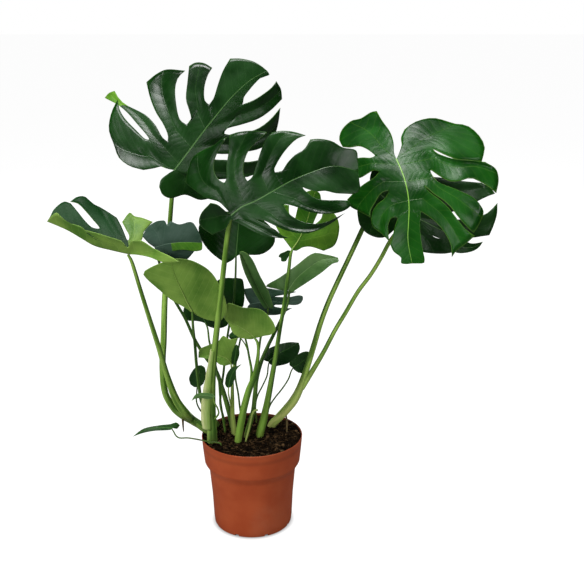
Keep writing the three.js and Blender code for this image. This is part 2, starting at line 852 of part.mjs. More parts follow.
    left: [[[[21, 362]], [[16, 367], [0, 394], [-14, 422], [-23, 452]]]],
    right: [[[[33, 362]], [[34, 368], [26, 392], [12, 418], [-3, 449], [-17, 461]]]],
  },
  leaf_middle_right: {
    detail: heartDetail,
    rib: [[61, 394], [75, 414], [97, 433], [120, 447], [147, 450]],
    lie: [16, 0.05, 0],
    fold: { left: [0.2, 0.3], right: [-0.7, 0.3] },
    left: [[[[53, 393]], [[40, 396], [22, 401], [46, 416], [75, 437], [104, 458], [124, 456], [142, 452]]]],
    right: [[[[66, 390]], [[76, 396], [96, 409], [118, 424], [138, 440], [148, 443]]]],
  },
  leaf_rear_slit: {
    detail: { inner: 1, outer: 2, cells: 4, tipCells: 4 },
    rib: [[-6, 370], [25, 374], [60, 373], [86, 377]],
    reach: 0.4,
    lie: [40, 0, 0],
    fold: { left: [0.15, 0.1], right: [-0.2, 0.1] },
    left: [
      [
        [[-12, 380]],
        [[-18, 396], [10, 399], [48, 394], [76, 391]],
        [[60, 387]],
        [38, 383],
      ],
      [
        [],
        [[46, 382], [62, 382], [79, 385], [86, 383]],
      ],
    ],
    right: [
      [
        [[-10, 364]],
        [[0, 356], [22, 351], [46, 352], [68, 363]],
        [[54, 363]],
        [36, 367],
      ],
      [
        [],
        [[54, 369], [73, 368], [82, 371]],
      ],
    ],
  },
  leaf_rear_dark: {
    detail: smallDetail,
    rib: [[-32, 362], [-33, 380], [-34, 398], [-35, 415]],
    lie: [28, 0.1, 0],
    fold: { left: [0.2, 0.1], right: [0.2, 0.1] },
    left: [[[[-40, 358]], [[-50, 362], [-58, 380], [-63, 409], [-48, 415]]]],
    right: [[[[-26, 360]], [[-17, 366], [-15, 381], [-18, 412], [-26, 415]]]],
  },
  leaf_under_right: {
    detail: { inner: 2, outer: 2, cells: 4, tipCells: 5 },
    rib: [[67, 464], [78, 480], [92, 510], [108, 568]],
    reach: 0.4,
    lie: [-12, 0.1, 0],
    fold: { left: [0.1, 0.2], right: [0.1, 0.2] },
    left: [
      [
        [[58, 476], [46, 492]],
        [[36, 511], [44, 532], [53, 542], [62, 541]],
        [[63, 527]],
        [71, 517],
      ],
      [
        [[75, 530]],
        [[80, 547], [92, 564]],
      ],
    ],
    right: [
      [
        [[74, 462], [86, 468], [100, 469]],
        [[122, 462], [141, 472], [149, 498], [146, 518], [136, 532]],
        [[122, 530], [117, 518]],
        [105, 508],
      ],
      [
        [[110, 522]],
        [[118, 540], [116, 560]],
      ],
    ],
  },
  leaf_bud_round: {
    detail: smallDetail,
    rib: [[65.1, 462], [57, 457], [48, 450]],
    lie: [-15, 0.3, 0],
    fold: { left: [-0.4, 0], right: [-0.4, 0] },
    left: [[[], [[63, 456], [60, 450], [56, 444], [49, 444]]]],
    right: [[[], [[60, 463], [54, 460], [47, 457], [44, 452]]]],
  },
  leaf_under_low: {
    detail: heartDetail,
    rib: [[-37, 264], [-43, 273], [-53, 279], [-72, 282], [-95, 277]],
    lie: [-12, 0.1, 0],
    fold: { left: [-0.4, 0.1], right: [-0.1, 0.2] },
    left: [[[[-40, 265]], [[-48, 263], [-58, 265], [-66, 271], [-84, 276]]]],
    right: [[[[-37, 274], [-33, 290]], [[-26, 312], [-41, 309], [-52, 315], [-61, 305], [-77, 299], [-93, 291]]]],
  },
  leaf_new: {
    detail: smallDetail,
    rib: [[-34, 263], [-31, 280], [-28, 300]],
    lie: [-20, 0, 0],
    fold: { left: [0.9, 0], right: [0.9, 0] },
    left: [[[[-37, 267]], [[-38, 276], [-35, 290], [-30, 299]]]],
    right: [[[[-30, 267]], [[-26, 275], [-24, 284], [-25, 294]]]],
  },
  leaf_round_left: {
    detail: smallDetail,
    rib: [[-97, 226], [-95, 244], [-90, 264]],
    lie: [22, 0.2, 0],
    fold: { left: [0.1, 0.3], right: [0.1, 0.3] },
    left: [[[[-102, 226]], [[-109, 231], [-111, 242], [-104, 256], [-96, 263]]]],
    right: [[[[-92, 227]], [[-86, 232], [-82, 246], [-84, 260]]]],
  },
  leaf_narrow: {
    detail: smallDetail,
    rib: [[-43, 225], [-40, 240], [-33, 255], [-20, 266]],
    lie: [-24, 0, 0],
    fold: { left: [0.3, 0.3], right: [0.3, 0.3] },
    left: [[[[-46, 226]], [[-49, 232], [-46, 248], [-38, 259], [-29, 262]]]],
    right: [[[[-40, 226]], [[-36, 230], [-31, 243], [-29, 256]]]],
  },
  leaf_across: {
    detail: smallDetail,
    rib: [[-66, 209], [-80, 211], [-94, 211], [-107, 202]],
    lie: [-66, 0.3, 0],
    fold: { left: [0.3, 0], right: [0.3, 0] },
    left: [[[[-70, 206]], [[-80, 205.5], [-92, 207], [-100, 206]]]],
    right: [[[[-69, 213]], [[-77, 216], [-90, 216], [-100, 213]]]],
  },
  leaf_low_right: {
    detail: smallDetail,
    rib: [[26, 270], [40, 282], [60, 292], [79, 303]],
    lie: [20, 0.1, 0],
    fold: { left: [0.3, 0.3], right: [-0.3, 0.3] },
    left: [[[[20, 272]], [[14, 280], [24, 291], [44, 300], [64, 304]]]],
    right: [[[[30, 265]], [[40, 262], [60, 267], [75, 279], [81, 293]]]],
  },
  leaf_low_right_rear: {
    detail: smallDetail,
    rib: [[68, 260], [82, 268], [102, 284]],
    lie: [48, 0, 0],
    fold: { left: [0.2, 0.2], right: [-0.2, 0.2] },
    left: [[[[63, 264]], [[63, 270], [78, 283], [92, 288]]]],
    right: [[[[71, 256]], [[78, 251], [90, 250], [99, 264]]]],
  },
  leaf_trailing: {
    detail: smallDetail,
    rib: [[-139, 155], [-160, 156], [-185, 152.5], [-209, 140]],
    lie: [-42, 0, 0],
    fold: { left: [-0.5, 0], right: [0.5, 0] },
    left: [[[[-143, 152]], [[-152, 151], [-172, 150], [-192, 146]]]],
    right: [[[[-132, 154]], [[-127, 160], [-133, 165], [-143, 162], [-162, 160], [-190, 154]]]],
  },
  leaf_behind_left: {
    detail: smallDetail,
    rib: [[-82, 336], [-90, 352], [-100, 372]],
    lie: [8, 0, 0],
    fold: { left: [0.2, 0.2], right: [0.2, 0.2] },
    left: [[[], [[-88, 339], [-100, 341], [-114, 342], [-121, 358], [-114, 372]]]],
    right: [[[[-77, 331]], [[-64, 327], [-50, 330], [-43, 336], [-56, 352], [-80, 370]]]],
  },
  leaf_low_middle: {
    detail: smallDetail,
    rib: [[-22, 313], [-30, 316], [-42, 312]],
    lie: [-2, 0, 0],
    fold: { left: [-0.2, 0], right: [0.2, 0] },
    left: [[[[-25, 311]], [[-30, 309], [-38, 309]]]],
    right: [[[[-20, 318]], [[-26, 324], [-36, 322], [-42, 316]]]],
  },
};

// ---- the stalks ----
// Each stalk: picture points from its blade down, radii, and where it enters the soil in world mm.
const soilDepth = 13;
const enter = (x, y) => [
  [x, y, soilEdgeHeight + 4],
  [x * 0.985, y * 0.985, soilEdgeHeight - soilDepth],
];

// A point off the foot of a blade: behind its face (side [0, 1]), in front of it or below it.
function offBlade(name, [down, back], away) {
  const leaf = leaves[name];
  const length = leaf.rib.slice(1).reduce((sum, p, i) => sum + span(p, leaf.rib[i]), 0);
  const p = flat3(ribPoint(leaf, Math.min(0.15, 3 / length)));
  return seen(p[0], p[1] - down * away, depth(leaf, "left", p, true) + back * away);
}

const path = (points, ...world) => [...points.map((p) => seen(...p)), ...world];

const stalks = {
  stem_left: {
    colour: "stalk",
    tubes: [
      {
        seat: ["leaf_left", [1, 0]],
        path: path([[-212, 447, -57], [-207, 433, -54], [-197, 400, -46], [-182, 352, -34],
            [-164, 296, -20], [-149, 245, -9], [-133, 203, -3], [-118, 182, 0]],
          level(-106, 170, 173), level(-93, 161, 169.5), [-78, 4, 167], ...enter(-66, 6),
        ),
        radii: [2, 2.6, 3, 3.2, 3.6, 4.2, 5, 6.5, 7, 7, 7, 7, 7, 7],
        sides: 8,
      },
      {
        seat: ["leaf_top_left", [0, 1]],
        path: path([[-138, 590, 47], [-140, 566, 50], [-144, 515, 47], [-148, 450, 40],
            [-153, 380, 30], [-155, 310, 16], [-157, 258, 7], [-152, 215, 2], [-137, 189, 2], [-124, 178, 2]],
          level(-108, 169, 172.5), level(-94, 161, 169.5),
        ),
        radii: [2, 3, 3.6, 3.8, 4.2, 4.8, 5.2, 5.2, 5.4, 6, 6.3, 6.5, 6.5],
        sides: 8,
      },
      { path: path([[-122, 171, 0], [-121.5, 160, 0], [-120.5, 149, 0]]), radii: [2, 1.6, 0.8], sides: 6 },
    ],
  },
  stem_front: {
    colour: "stalk",
    tubes: [
      {
        seat: ["leaf_front", [0, 1]],
        path: path([[-40, 513, -90], [-44, 490, -86], [-50, 442, -76], [-56, 386, -64],
            [-62, 335, -54], [-67, 290, -46], [-71, 240, -36], [-72, 205, -31], [-72, 172, -27]],
          ...enter(-65, -24),
        ),
        radii: [2, 3.4, 4, 4, 4.2, 4.6, 5, 5.8, 6.4, 7.4, 8.6, 8.6],
        sides: 10,
      },
      {
        seat: ["leaf_across", [0, 1]],
        path: path([[-67, 199, -61], [-62, 190, -53], [-60, 180, -42], [-68, 169, -29]]),
        radii: [1, 1.2, 1.3, 1.4, 1.6],
        sides: 6,
      },
    ],
  },
  stem_under_left: {
    colour: "stalkDark",
    tubes: [
      {
        seat: ["leaf_under_left", [0, -1]],
        path: path([[-105, 345, -47], [-104, 328, -40], [-101, 300, -22], [-98, 262, 2],
            [-94, 228, 10], [-88, 198, 20]],
          ...enter(-60, 34),
        ),
        radii: [1.6, 2, 2.2, 2.4, 2.6, 2.8, 3, 3.2, 3.2],
        sides: 7,
      },
    ],
  },
  stem_middle: {
    colour: "stalkDark",
    tubes: [
      {
        seat: ["leaf_under_middle", [0, -1]],
        path: path([[7, 304, -23], [9, 290, -24], [7, 270, -25], [2, 245, -26], [-7, 222, -27],
            [-14, 198, -28], [-19, 175, -29]],
          ...enter(-22, -28),
        ),
        radii: [1.6, 2.2, 2.6, 3.2, 4.4, 5.4, 5.8, 6, 6, 6],
        sides: 8,
      },
      {
        seat: ["leaf_folded", [0, 1]],
        path: path([[25, 352, 8], [18, 330, 4], [13, 312, 0], [10, 292, -6], [5, 262, -18], [-1, 240, -25]],
        ),
        radii: [1.2, 1.6, 1.7, 1.8, 2, 2.4, 2.6],
        sides: 6,
      },
      {
        seat: ["leaf_rear_dark", [0, 1]],
        path: path([[-28, 350, 28], [-18, 325, 14], [-11, 300, 0], [-7, 278, -12], [-3, 255, -22], [-4, 235, -26]],
        ),
        radii: [1.2, 1.5, 1.6, 1.7, 1.9, 2.2, 2.4],
        sides: 6,
      },
      {
        seat: ["leaf_low_middle", [0, 1]],
        path: path([[-18, 306, 0], [-13, 298, -1], [-9, 288, -6]]),
        radii: [0.9, 1, 1.1, 1.2],
        sides: 6,
      },
    ],
  },
  stem_behind_front: {
    colour: "stalkDark",
    tubes: [
      {
        seat: ["leaf_behind_front", [0, 1]],
        path: path([[-30, 442, -9], [-31, 410, -2], [-34, 372, 4], [-42, 330, 10], [-48, 290, 22],
            [-51, 255, 30], [-55, 225, 34], [-57, 198, 39]],
          ...enter(-50, 47),
        ),
        radii: [1.2, 1.6, 1.7, 1.8, 1.9, 1.9, 2, 2.1, 2.1, 2.2, 2.2],
        sides: 6,
      },
    ],
  },
  stem_left_rear: {
    colour: "stalkDark",
    tubes: [
      {
        seat: ["leaf_left_rear", [0, 1]],
        path: path([[-167, 456, -38], [-155, 420, -22], [-138, 380, -8], [-118, 345, 4], [-101, 308, 12],
            [-84, 280, 16], [-65, 255, 19], [-54, 225, 22], [-45, 195, 25]],
          ...enter(-34, 26),
        ),
        radii: [1.6, 2, 2.2, 2.3, 2.4, 2.7, 3, 3.4, 3.8, 4.4, 4.8, 4.8],
        sides: 7,
      },
    ],
  },
  stem_pale: {
    colour: "stalkPale",
    tubes: [
      {
        seat: ["leaf_new", [1, 0]],
        path: path([[-35, 253, -19], [-36, 235, -14], [-36, 205, -8], [-36, 175, -3]],
          ...enter(-30, 0),
        ),
        radii: [1.6, 2, 2.4, 3.2, 4.2, 5.2, 5.2],
        sides: 8,
      },
      {
        seat: ["leaf_under_low", [0, -1]],
        path: path([[-37, 256, -16], [-36.5, 240, -15]]),
        radii: [1.3, 1.6, 2],
        sides: 6,
      },
      {
        seat: ["leaf_narrow", [0, 1]],
        path: path([[-43, 217, -21], [-41, 205, -15], [-37, 188, -7]]),
        radii: [0.9, 1.1, 1.3, 1.5],
        sides: 6,
      },
    ],
  },
  stem_middle_right: {
    colour: "stalkDark",
    tubes: [
      {
        seat: ["leaf_middle_right", [0, 1]],
        path: path([[62, 386, 18], [58, 366, 14], [49, 345, 9], [38, 322, 5], [26, 298, 2], [14, 270, -2],
            [6, 240, -6], [3, 212, -9], [0, 185, -11]],
          ...enter(-9, -10),
        ),
        radii: [1.5, 2, 2.3, 2.5, 2.7, 3, 3.3, 3.5, 3.8, 4, 4.2, 4.2],
        sides: 7,
      },
    ],
  },
  stem_under_right: {
    colour: "stalk",
    tubes: [
      {
        seat: ["leaf_under_right", [0, -1]],
        path: path([[65, 456, -15], [62, 432, -13], [58, 400, -12], [53, 365, -12], [46, 325, -11],
            [39, 280, -10], [31, 235, -9], [24, 198, -8], [18, 170, -8]],
          ...enter(13, -8),
        ),
        radii: [1.6, 2.4, 2.8, 3, 3.2, 3.4, 3.8, 4.6, 5.4, 6.4, 6.8, 6.8],
        sides: 8,
      },
    ],
  },
  stem_right: {
    colour: "stalk",
    tubes: [
      {
        seat: ["leaf_right_rear", [0, 1]],
        path: path([[211, 552, 73], [200, 525, 72], [187, 495, 62], [165, 448, 48], [147, 410, 40],
            [131, 375, 34], [117, 338, 30], [105, 298, 27], [91, 253, 25], [80, 222, 24], [70, 203, 24],
            [58, 188, 25], [44, 173, 27]],
          ...enter(32, 29),
        ),
        radii: [2, 3, 3.6, 4, 4, 4.1, 4.2, 4.4, 4.8, 5.2, 6.6, 7.6, 7.6, 7.2, 7, 7],
        sides: 9,
      },
      {
        seat: ["leaf_right", [0, 1]],
        path: path([[252, 608, 15], [262, 575, 11], [266, 545, 7], [258, 510, 6], [236, 477, 12],
            [221, 449, 16], [203, 420, 20], [182, 392, 22], [160, 355, 23], [142, 325, 24], [122, 287, 24],
            [100, 250, 24], [84, 224, 24]],
        ),
        radii: [2, 2.8, 3.2, 3.3, 3.3, 3.3, 3.3, 3.3, 3.4, 3.5, 3.6, 3.8, 4.4, 4.8],
        sides: 8,
      },
      {
        // root down to the soil
        path: path([[56, 182, 25], [58, 168, 20]], [58.5, 12, soilEdgeHeight + 3], [59, 10, soilEdgeHeight - 6]),
        radii: [1.6, 1.6, 1.4, 1.2],
        sides: 6,
      },
    ],
  },
  stem_rear_slit: {
    colour: "stalkDark",
    tubes: [
      {
        seat: ["leaf_rear_slit", [0, 1]],
        path: path([[-10, 360, 43], [-18, 330, 38], [-23, 305, 32], [-29, 275, 26], [-31, 245, 24],
            [-26, 215, 26], [-23, 190, 30]],
          ...enter(-18, 36),
        ),
        radii: [1.2, 1.5, 1.6, 1.6, 1.6, 1.6, 1.6, 1.7, 1.8, 1.8],
        sides: 6,
      },
    ],
  },
  stem_behind_left: {
    colour: "stalkDark",
    tubes: [
      {
        seat: ["leaf_behind_left", [0, 1]],
        path: path([[-79, 328, 9], [-76, 305, 6], [-68, 275, 6], [-60, 240, 6], [-57, 205, 7],
            [-54, 182, 9]],
          ...enter(-46, 12),
        ),
        radii: [1.2, 1.5, 1.7, 1.8, 1.8, 1.8, 1.9, 2, 2],
        sides: 6,
      },
    ],
  },
  stem_low_right: {
    colour: "stalkDark",
    tubes: [
      {
        seat: ["leaf_low_right", [0, 1]],
        path: path([[26, 262, 23], [24, 246, 24], [16, 228, 28], [8, 212, 32], [4, 195, 36]], ...enter(6, 42)),
        radii: [1, 1.2, 1.3, 1.3, 1.3, 1.4, 1.5, 1.5],
        sides: 6,
      },
    ],
  },
  stem_low_right_rear: {
    colour: "stalkDark",
    tubes: [
      {
        seat: ["leaf_low_right_rear", [0, 1]],
        path: path([[66, 254, 50], [61, 240, 48], [50, 223, 49], [38, 208, 50], [29, 194, 51]], ...enter(22, 54)),
        radii: [1, 1.2, 1.3, 1.3, 1.3, 1.4, 1.5, 1.5],
        sides: 6,
      },
    ],
  },
  stem_round_left: {
    colour: "stalkDark",
    tubes: [
      {
        seat: ["leaf_round_left", [0, 1]],
        path: path([[-98, 216, 25], [-98, 200, 27], [-93, 188, 31], [-86, 180, 35]], ...enter(-68, 42)),
        radii: [1, 1.2, 1.3, 1.4, 1.4, 1.5, 1.5],
        sides: 6,
      },
    ],
  },
  stem_trailing: {
    colour: "stalkDark",
    tubes: [
      {
        seat: ["leaf_trailing", [0, 1]],
        path: path([[-138, 149, -40.5], [-134, 142, -40], [-128, 138, -38], [-114, 138, -36], [-100, 136, -36]],
          level(-87, 133.5, 162.6), level(-74, 131, 163.4), level(-62, 130, 162), ...enter(-50, -38),
        ),
        radii: [0.9, 1.1, 1.2, 1.2, 1.2, 1.2, 1.2, 1.2, 1.2, 1.2, 1.2],
        sides: 6,
      },
    ],
  },
  stem_curl: {
    colour: "stalkPale",
    tubes: [
      {
        path: path([[8, 186, -22], [3, 186, -23], [-2, 179, -24], [-5, 166, -24], [-8, 152, -25]], ...enter(-9, -27)),
        radii: [1.6, 1.8, 1.8, 1.7, 1.6, 1.6, 1.6],
        sides: 6,
      },
    ],
  },
};

// The cream sheath folds round the foot of the front stalk from the left.
const sheath = {
  // share of the way down the front stalk, flare to the left in mm
  rows: [[0.56, 0], [0.62, 1.5], [0.68, 4], [0.74, 7], [0.8, 9], [0.86, 8.4], [0.905, 6]],
  from: 70,
  to: 262,
  gap: 0.7,
  thickness: 1,
  columns: 8,
};

function makeSheath() {
  const vertices = [];
  const triangles = [];
  const { rows, from, to, gap, thickness, columns } = sheath;
  const { radii } = stalks.stem_front.tubes[0];
  const way = seated(stalks.stem_front.tubes[0]);
  rows.forEach(([share, flare]) => {
    const centre = curveAt(way, share);
    for (let k = 0; k <= columns; k++) {
      const a = ((from + ((to - from) * k) / columns) * Math.PI) / 180;
      const left = Math.max(0, -Math.cos(a));
      const r = radiusOf(way, radii, share) + gap + thickness / 2 + flare * left;
      vertices.push([centre[0] + r * Math.cos(a), centre[1] + r * Math.sin(a), centre[2]]);
    }
  });
  for (let i = 0; i + 1 < rows.length; i++)
    for (let k = 0; k < columns; k++) {
      const a = i * (columns + 1) + k;
      const b = a + columns + 1;
      triangles.push([a, a + 1, b + 1], [a, b + 1, b]);
    }
  return slab([vertices, triangles], thickness);
}

// ---- putting it together ----
const paints = {
  pot: new THREE.MeshStandardMaterial({ name: "terracotta_plastic", color: 0x9a4a2b, roughness: 0.6 }),
  soil: new THREE.MeshStandardMaterial({ name: "soil", color: 0x2a1d14, roughness: 0.95 }),
  leaf: new THREE.MeshStandardMaterial({ name: "leaf", color: 0x1f5a1c, roughness: 0.4, side: THREE.DoubleSide }),
  stalk: new THREE.MeshStandardMaterial({ name: "stalk_green", color: 0x5d8a2f, roughness: 0.5 }),
  stalkDark: new THREE.MeshStandardMaterial({ name: "stalk_dark", color: 0x36551f, roughness: 0.5 }),
  stalkPale: new THREE.MeshStandardMaterial({ name: "stalk_pale", color: 0x8aa850, roughness: 0.5 }),
  sheath: new THREE.MeshStandardMaterial({ name: "sheath", color: 0xb9bd86, roughness: 0.6 }),
};

const plant = new THREE.Group();
plant.name = "potted_monstera";

function addSolid(name, solid, paint) {
  const m = solid.getMesh();
  const geometry = new THREE.BufferGeometry();
  const positions = new Float32Array(m.numVert * 3);
  for (let i = 0; i < m.numVert; i++)
    for (let c = 0; c < 3; c++) positions[i * 3 + c] = m.vertProperties[i * m.numProp + c];
  geometry.setAttribute("position", new THREE.BufferAttribute(positions, 3));
  geometry.setIndex(new THREE.BufferAttribute(new Uint32Array(m.triVerts), 1));
  geometry.computeVertexNormals();
  const mesh = new THREE.Mesh(geometry, paint);
  mesh.name = name;
  plant.add(mesh);
}

addSolid("pot", makePot(), paints.pot);

const blades = {};
for (const [name, leaf] of Object.entries(leaves)) {
  const thickness = leaf.detail === smallDetail ? smallBladeThickness : bladeThickness;
  blades[name] = slab(bladeSheet(leaf, leaf.detail), thickness);
  addSolid(name, blades[name], paints.leaf);
}

// A stalk's path with its top drawn off the blade until the seat gap lies between them.
function seated(t) {
  if (!t.seat) return t.path;
  const [name, side] = t.seat;
  let near = 0.3;
  let far = 7;
  for (let k = 0; k < 9; k++) {
    const away = (near + far) / 2;
    const trial = tube([offBlade(name, side, away), ...t.path], t.radii, t.sides);
    if (trial.minGap(blades[name], 3 * seatGap) > seatGap) far = away;
    else near = away;
  }
  return [offBlade(name, side, far), ...t.path];
}

let soil = makeSoil();
for (const [name, stalk] of Object.entries(stalks)) {
  let solid = null;
  for (const t of stalk.tubes) {
    const way = seated(t);
    const piece = tube(way, t.radii, t.sides);
    solid = solid ? solid.add(piece) : piece;
    if (way[way.length - 1][2] < soilEdgeHeight) {
      const hole = tube(way, t.radii, t.sides, seatGap);
      soil = soil.subtract(hole.add(hole.translate([0, 0, -seatGap])));
    }
  }
  addSolid(name, largestBody(solid), paints[stalk.colour]);
}
addSolid("soil", largestBody(soil), paints.soil);
addSolid("sheath", makeSheath(), paints.sheath);

export default plant;
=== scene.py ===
# A potted monstera: split and heart-shaped leaves on arching stalks, in a round nursery pot of dark soil.
import math
import random

import bmesh
import bpy
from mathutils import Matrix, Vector, noise


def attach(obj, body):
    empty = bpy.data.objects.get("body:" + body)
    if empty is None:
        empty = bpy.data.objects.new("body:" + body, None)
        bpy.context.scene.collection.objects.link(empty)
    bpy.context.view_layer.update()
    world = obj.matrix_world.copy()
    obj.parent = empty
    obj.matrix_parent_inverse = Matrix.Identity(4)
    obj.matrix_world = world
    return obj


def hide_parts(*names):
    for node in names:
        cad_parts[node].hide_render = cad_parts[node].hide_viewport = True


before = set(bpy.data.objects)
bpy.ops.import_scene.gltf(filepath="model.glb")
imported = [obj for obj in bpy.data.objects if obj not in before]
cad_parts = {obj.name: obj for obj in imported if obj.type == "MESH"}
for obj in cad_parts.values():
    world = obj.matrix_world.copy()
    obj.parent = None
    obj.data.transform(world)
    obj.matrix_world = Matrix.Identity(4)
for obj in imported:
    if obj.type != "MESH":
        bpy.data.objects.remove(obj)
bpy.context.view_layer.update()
random.seed(7)
mm = 0.001

# The photograph's plane: [across, up, back] in mm, with back the distance behind the pot's axis.
sight = {"across": 67.2, "back": -1500.0, "up": 892.0, "reach": 1700.9, "middle": 390.7,
         "tilt": math.radians(17.8), "sensor": 36, "lens": 60.53}


def ray(across, up):
    y = up - sight["middle"]
    cosT, sinT = math.cos(sight["tilt"]), math.sin(sight["tilt"])
    return (across - sight["across"], sight["reach"] * cosT + y * sinT, y * cosT - sight["reach"] * sinT)


def seen(across, up, back):
    dx, dy, dz = ray(across, up)
    t = (back - sight["back"]) / dy
    return Vector((sight["across"] + t * dx, back, sight["up"] + t * dz))


def level(across, up, height):
    dx, dy, dz = ray(across, up)
    t = (height - sight["up"]) / dz
    return Vector((sight["across"] + t * dx, sight["back"] + t * dy, height))


def clamp(v, lo, hi):
    return max(lo, min(hi, v))


# How far along a path each of its points stands.
def chordsOf(points):
    at = [0.0]
    for a, b in zip(points, points[1:]):
        at.append(at[-1] + max(1e-6, math.dist(a, b)))
    return at


# The stretch of a rising list that x falls in, and its share of that stretch.
def spanAt(at, x):
    i = 0
    while i < len(at) - 2 and at[i + 1] < x:
        i += 1
    return i, (x - at[i]) / (at[i + 1] - at[i])


# A smooth curve through points, read at a share of its chord length.
def curveAt(points, share):
    at = chordsOf(points)
    i, u = spanAt(at, clamp(share, 0, 1) * at[-1])

    def slope(k):
        a, b = max(0, k - 1), min(len(points) - 1, k + 1)
        return [(q - p) / (at[b] - at[a]) for p, q in zip(points[a], points[b])]

    h = at[i + 1] - at[i]
    h00, h10 = 2 * u**3 - 3 * u**2 + 1, u**3 - 2 * u**2 + u
    h01, h11 = 3 * u**2 - 2 * u**3, u**3 - u**2
    return [
        h00 * p + h10 * h * s + h01 * q + h11 * h * e
        for p, s, q, e in zip(points[i], slope(i), points[i + 1], slope(i + 1))
    ]


def addObject(name, data):
    made = bpy.data.objects.new(name, data)
    bpy.context.scene.collection.objects.link(made)
    return made


def meshObject(name, bm, materials=()):
    mesh = bpy.data.meshes.new(name)
    bm.to_mesh(mesh)
    bm.free()
    for material in materials:
        mesh.materials.append(material)
    return addObject(name, mesh)


def finishPiece(name, bm, materials, replaced=(), smooth=True):
    for face in bm.faces:
        face.smooth = smooth
    piece = meshObject(name, bm, materials)
    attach(piece, "root")
    if replaced:
        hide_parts(*replaced)
    return piece


def thicken(piece, thickness):
    shell = piece.modifiers.new("thickness", "SOLIDIFY")
    shell.thickness = thickness * mm
    shell.offset = 0
    return shell


# A shader node with its settings, and its sockets linked or set.
def addNode(tree, kind, feeds=(), **settings):
    node = tree.nodes.new("ShaderNode" + kind)
    for key, value in settings.items():
        setattr(node, key, value)
    for key, value in dict(feeds).items():
        if hasattr(value, "is_output"):
            tree.links.new(value, node.inputs[key])
        else:
            node.inputs[key].default_value = value
    return node


def mathOf(tree, kind, a, b=None):
    feeds = {0: a} if b is None else {0: a, 1: b}
    return addNode(tree, "Math", feeds, operation=kind).outputs[0]


def timesOf(tree, a, b):
    return mathOf(tree, "MULTIPLY", a, b)


def rampOf(tree, value, lo, hi, toLo=0.0, toHi=1.0):
    feeds = {"Value": value, "From Min": lo, "From Max": hi, "To Min": toLo, "To Max": toHi}
    return addNode(tree, "MapRange", feeds, interpolation_type="SMOOTHSTEP").outputs[0]


def noiseOf(tree, vector, scale, detail, rough=0.5):
    feeds = {"Vector": vector, "Scale": scale, "Detail": detail, "Roughness": rough}
    return addNode(tree, "TexNoise", feeds).outputs["Fac"]


def attributeOf(tree, name):
    return addNode(tree, "Attribute", attribute_name=name).outputs["Fac"]


def mixColour(tree, factor, a, b):
    a, b = (value if hasattr(value, "is_output") else (*value, 1) for value in (a, b))
    return addNode(tree, "Mix", {"Factor": factor, 6: a, 7: b}, data_type="RGBA").outputs[2]


# Lays a colour over another by a mask, as strongly as the share says.
def tint(tree, colour, mask, share, over):
    return mixColour(tree, timesOf(tree, mask, share), colour, over)


def newMaterial(name):
    material = bpy.data.materials.new(name)
    material.use_nodes = True
    tree = material.node_tree
    return material, tree, tree.nodes["Principled BSDF"], addNode(tree, "TexCoord").outputs["Object"]


def coat(tree, shader, colour, rough, gloss, height, bump):
    feeds = {"Strength": bump[0], "Distance": bump[1], "Height": height}
    normal = addNode(tree, "Bump", feeds).outputs["Normal"]
    for key, value in (("Base Color", colour), ("Roughness", rough), ("Normal", normal)):
        tree.links.new(value, shader.inputs[key])
    shader.inputs["Specular IOR Level"].default_value = gloss


# The camera stands where the photograph's did.
def makeCamera():
    lens = bpy.data.cameras.new("camera")
    lens.sensor_width = sight["sensor"]
    lens.lens = sight["lens"]
    camera = addObject("camera", lens)
    camera.location = (sight["across"] * mm, sight["back"] * mm, sight["up"] * mm)
    camera.rotation_euler = (math.pi / 2 - sight["tilt"], 0, 0)
    bpy.context.scene.camera = camera


lamps = {
    "key": {"place": (-0.1, -0.1, 2.4), "aim": 0.4, "size": 1.0, "power": 24, "gloss": False},
    "left": {"place": (-2.0, -1.5, 1.2), "aim": 0.3, "size": 0.9, "power": 48, "gloss": False},
    "right": {"place": (2.2, -1.0, 1.2), "aim": 0.3, "size": 0.8, "power": 18, "gloss": False},
    "front": {"place": (0.1, -3.0, 0.5), "aim": 0.3, "size": 1.2, "power": 24, "gloss": False},
    "rear": {"place": (-0.9, 2.6, 1.5), "aim": 0.3, "size": 1.2, "power": 34, "gloss": False},
    "rearRight": {"place": (1.6, 2.2, 1.3), "aim": 0.3, "size": 1.0, "power": 22, "gloss": False},
    "sheenTop": {"place": (0.15, -0.2, 2.4), "aim": 0.6, "size": 0.8, "power": 30, "gloss": True},
    "sheenLeft": {"place": (-1.2, -2.2, 1.6), "aim": 0.6, "size": 0.8, "power": 12, "gloss": True},
    "sheenRight": {"place": (1.8, -1.3, 1.5), "aim": 0.6, "size": 0.6, "power": 6, "gloss": True},
}
studio = {"glow": 0.04, "floorSize": 15, "floorTone": 0.12, "floorShine": 0.97, "floorRough": 0.9,
          "floorGloss": 0.1, "paintedContactShadow": (0.056, 0.074)}


def makeLights():
    for name, lamp in lamps.items():
        light = bpy.data.lights.new(name, "AREA")
        light.size = lamp["size"]
        light.energy = lamp["power"]
        holder = addObject(name, light)
        holder.location = lamp["place"]
        aim = Vector((0, 0, lamp["aim"])) - Vector(lamp["place"])
        holder.rotation_euler = aim.to_track_quat("-Z", "Y").to_euler()
        holder.visible_camera = False
        holder.visible_glossy = lamp["gloss"]
    world = bpy.data.worlds.new("studio")
    world.use_nodes = True
    tree = world.node_tree
    tree.nodes.clear()
    white = (1, 1, 1, 1)
    glow = addNode(tree, "Background", {"Color": white, "Strength": studio["glow"]}).outputs[0]
    backdrop = addNode(tree, "Background", {"Color": white}).outputs[0]
    fromCamera = addNode(tree, "LightPath").outputs["Is Camera Ray"]
    mixed = addNode(tree, "MixShader", {0: fromCamera, 1: glow, 2: backdrop}).outputs[0]
    addNode(tree, "OutputWorld", {"Surface": mixed})
    bpy.context.scene.world = world
    bpy.context.scene.view_settings.view_transform = "Standard"
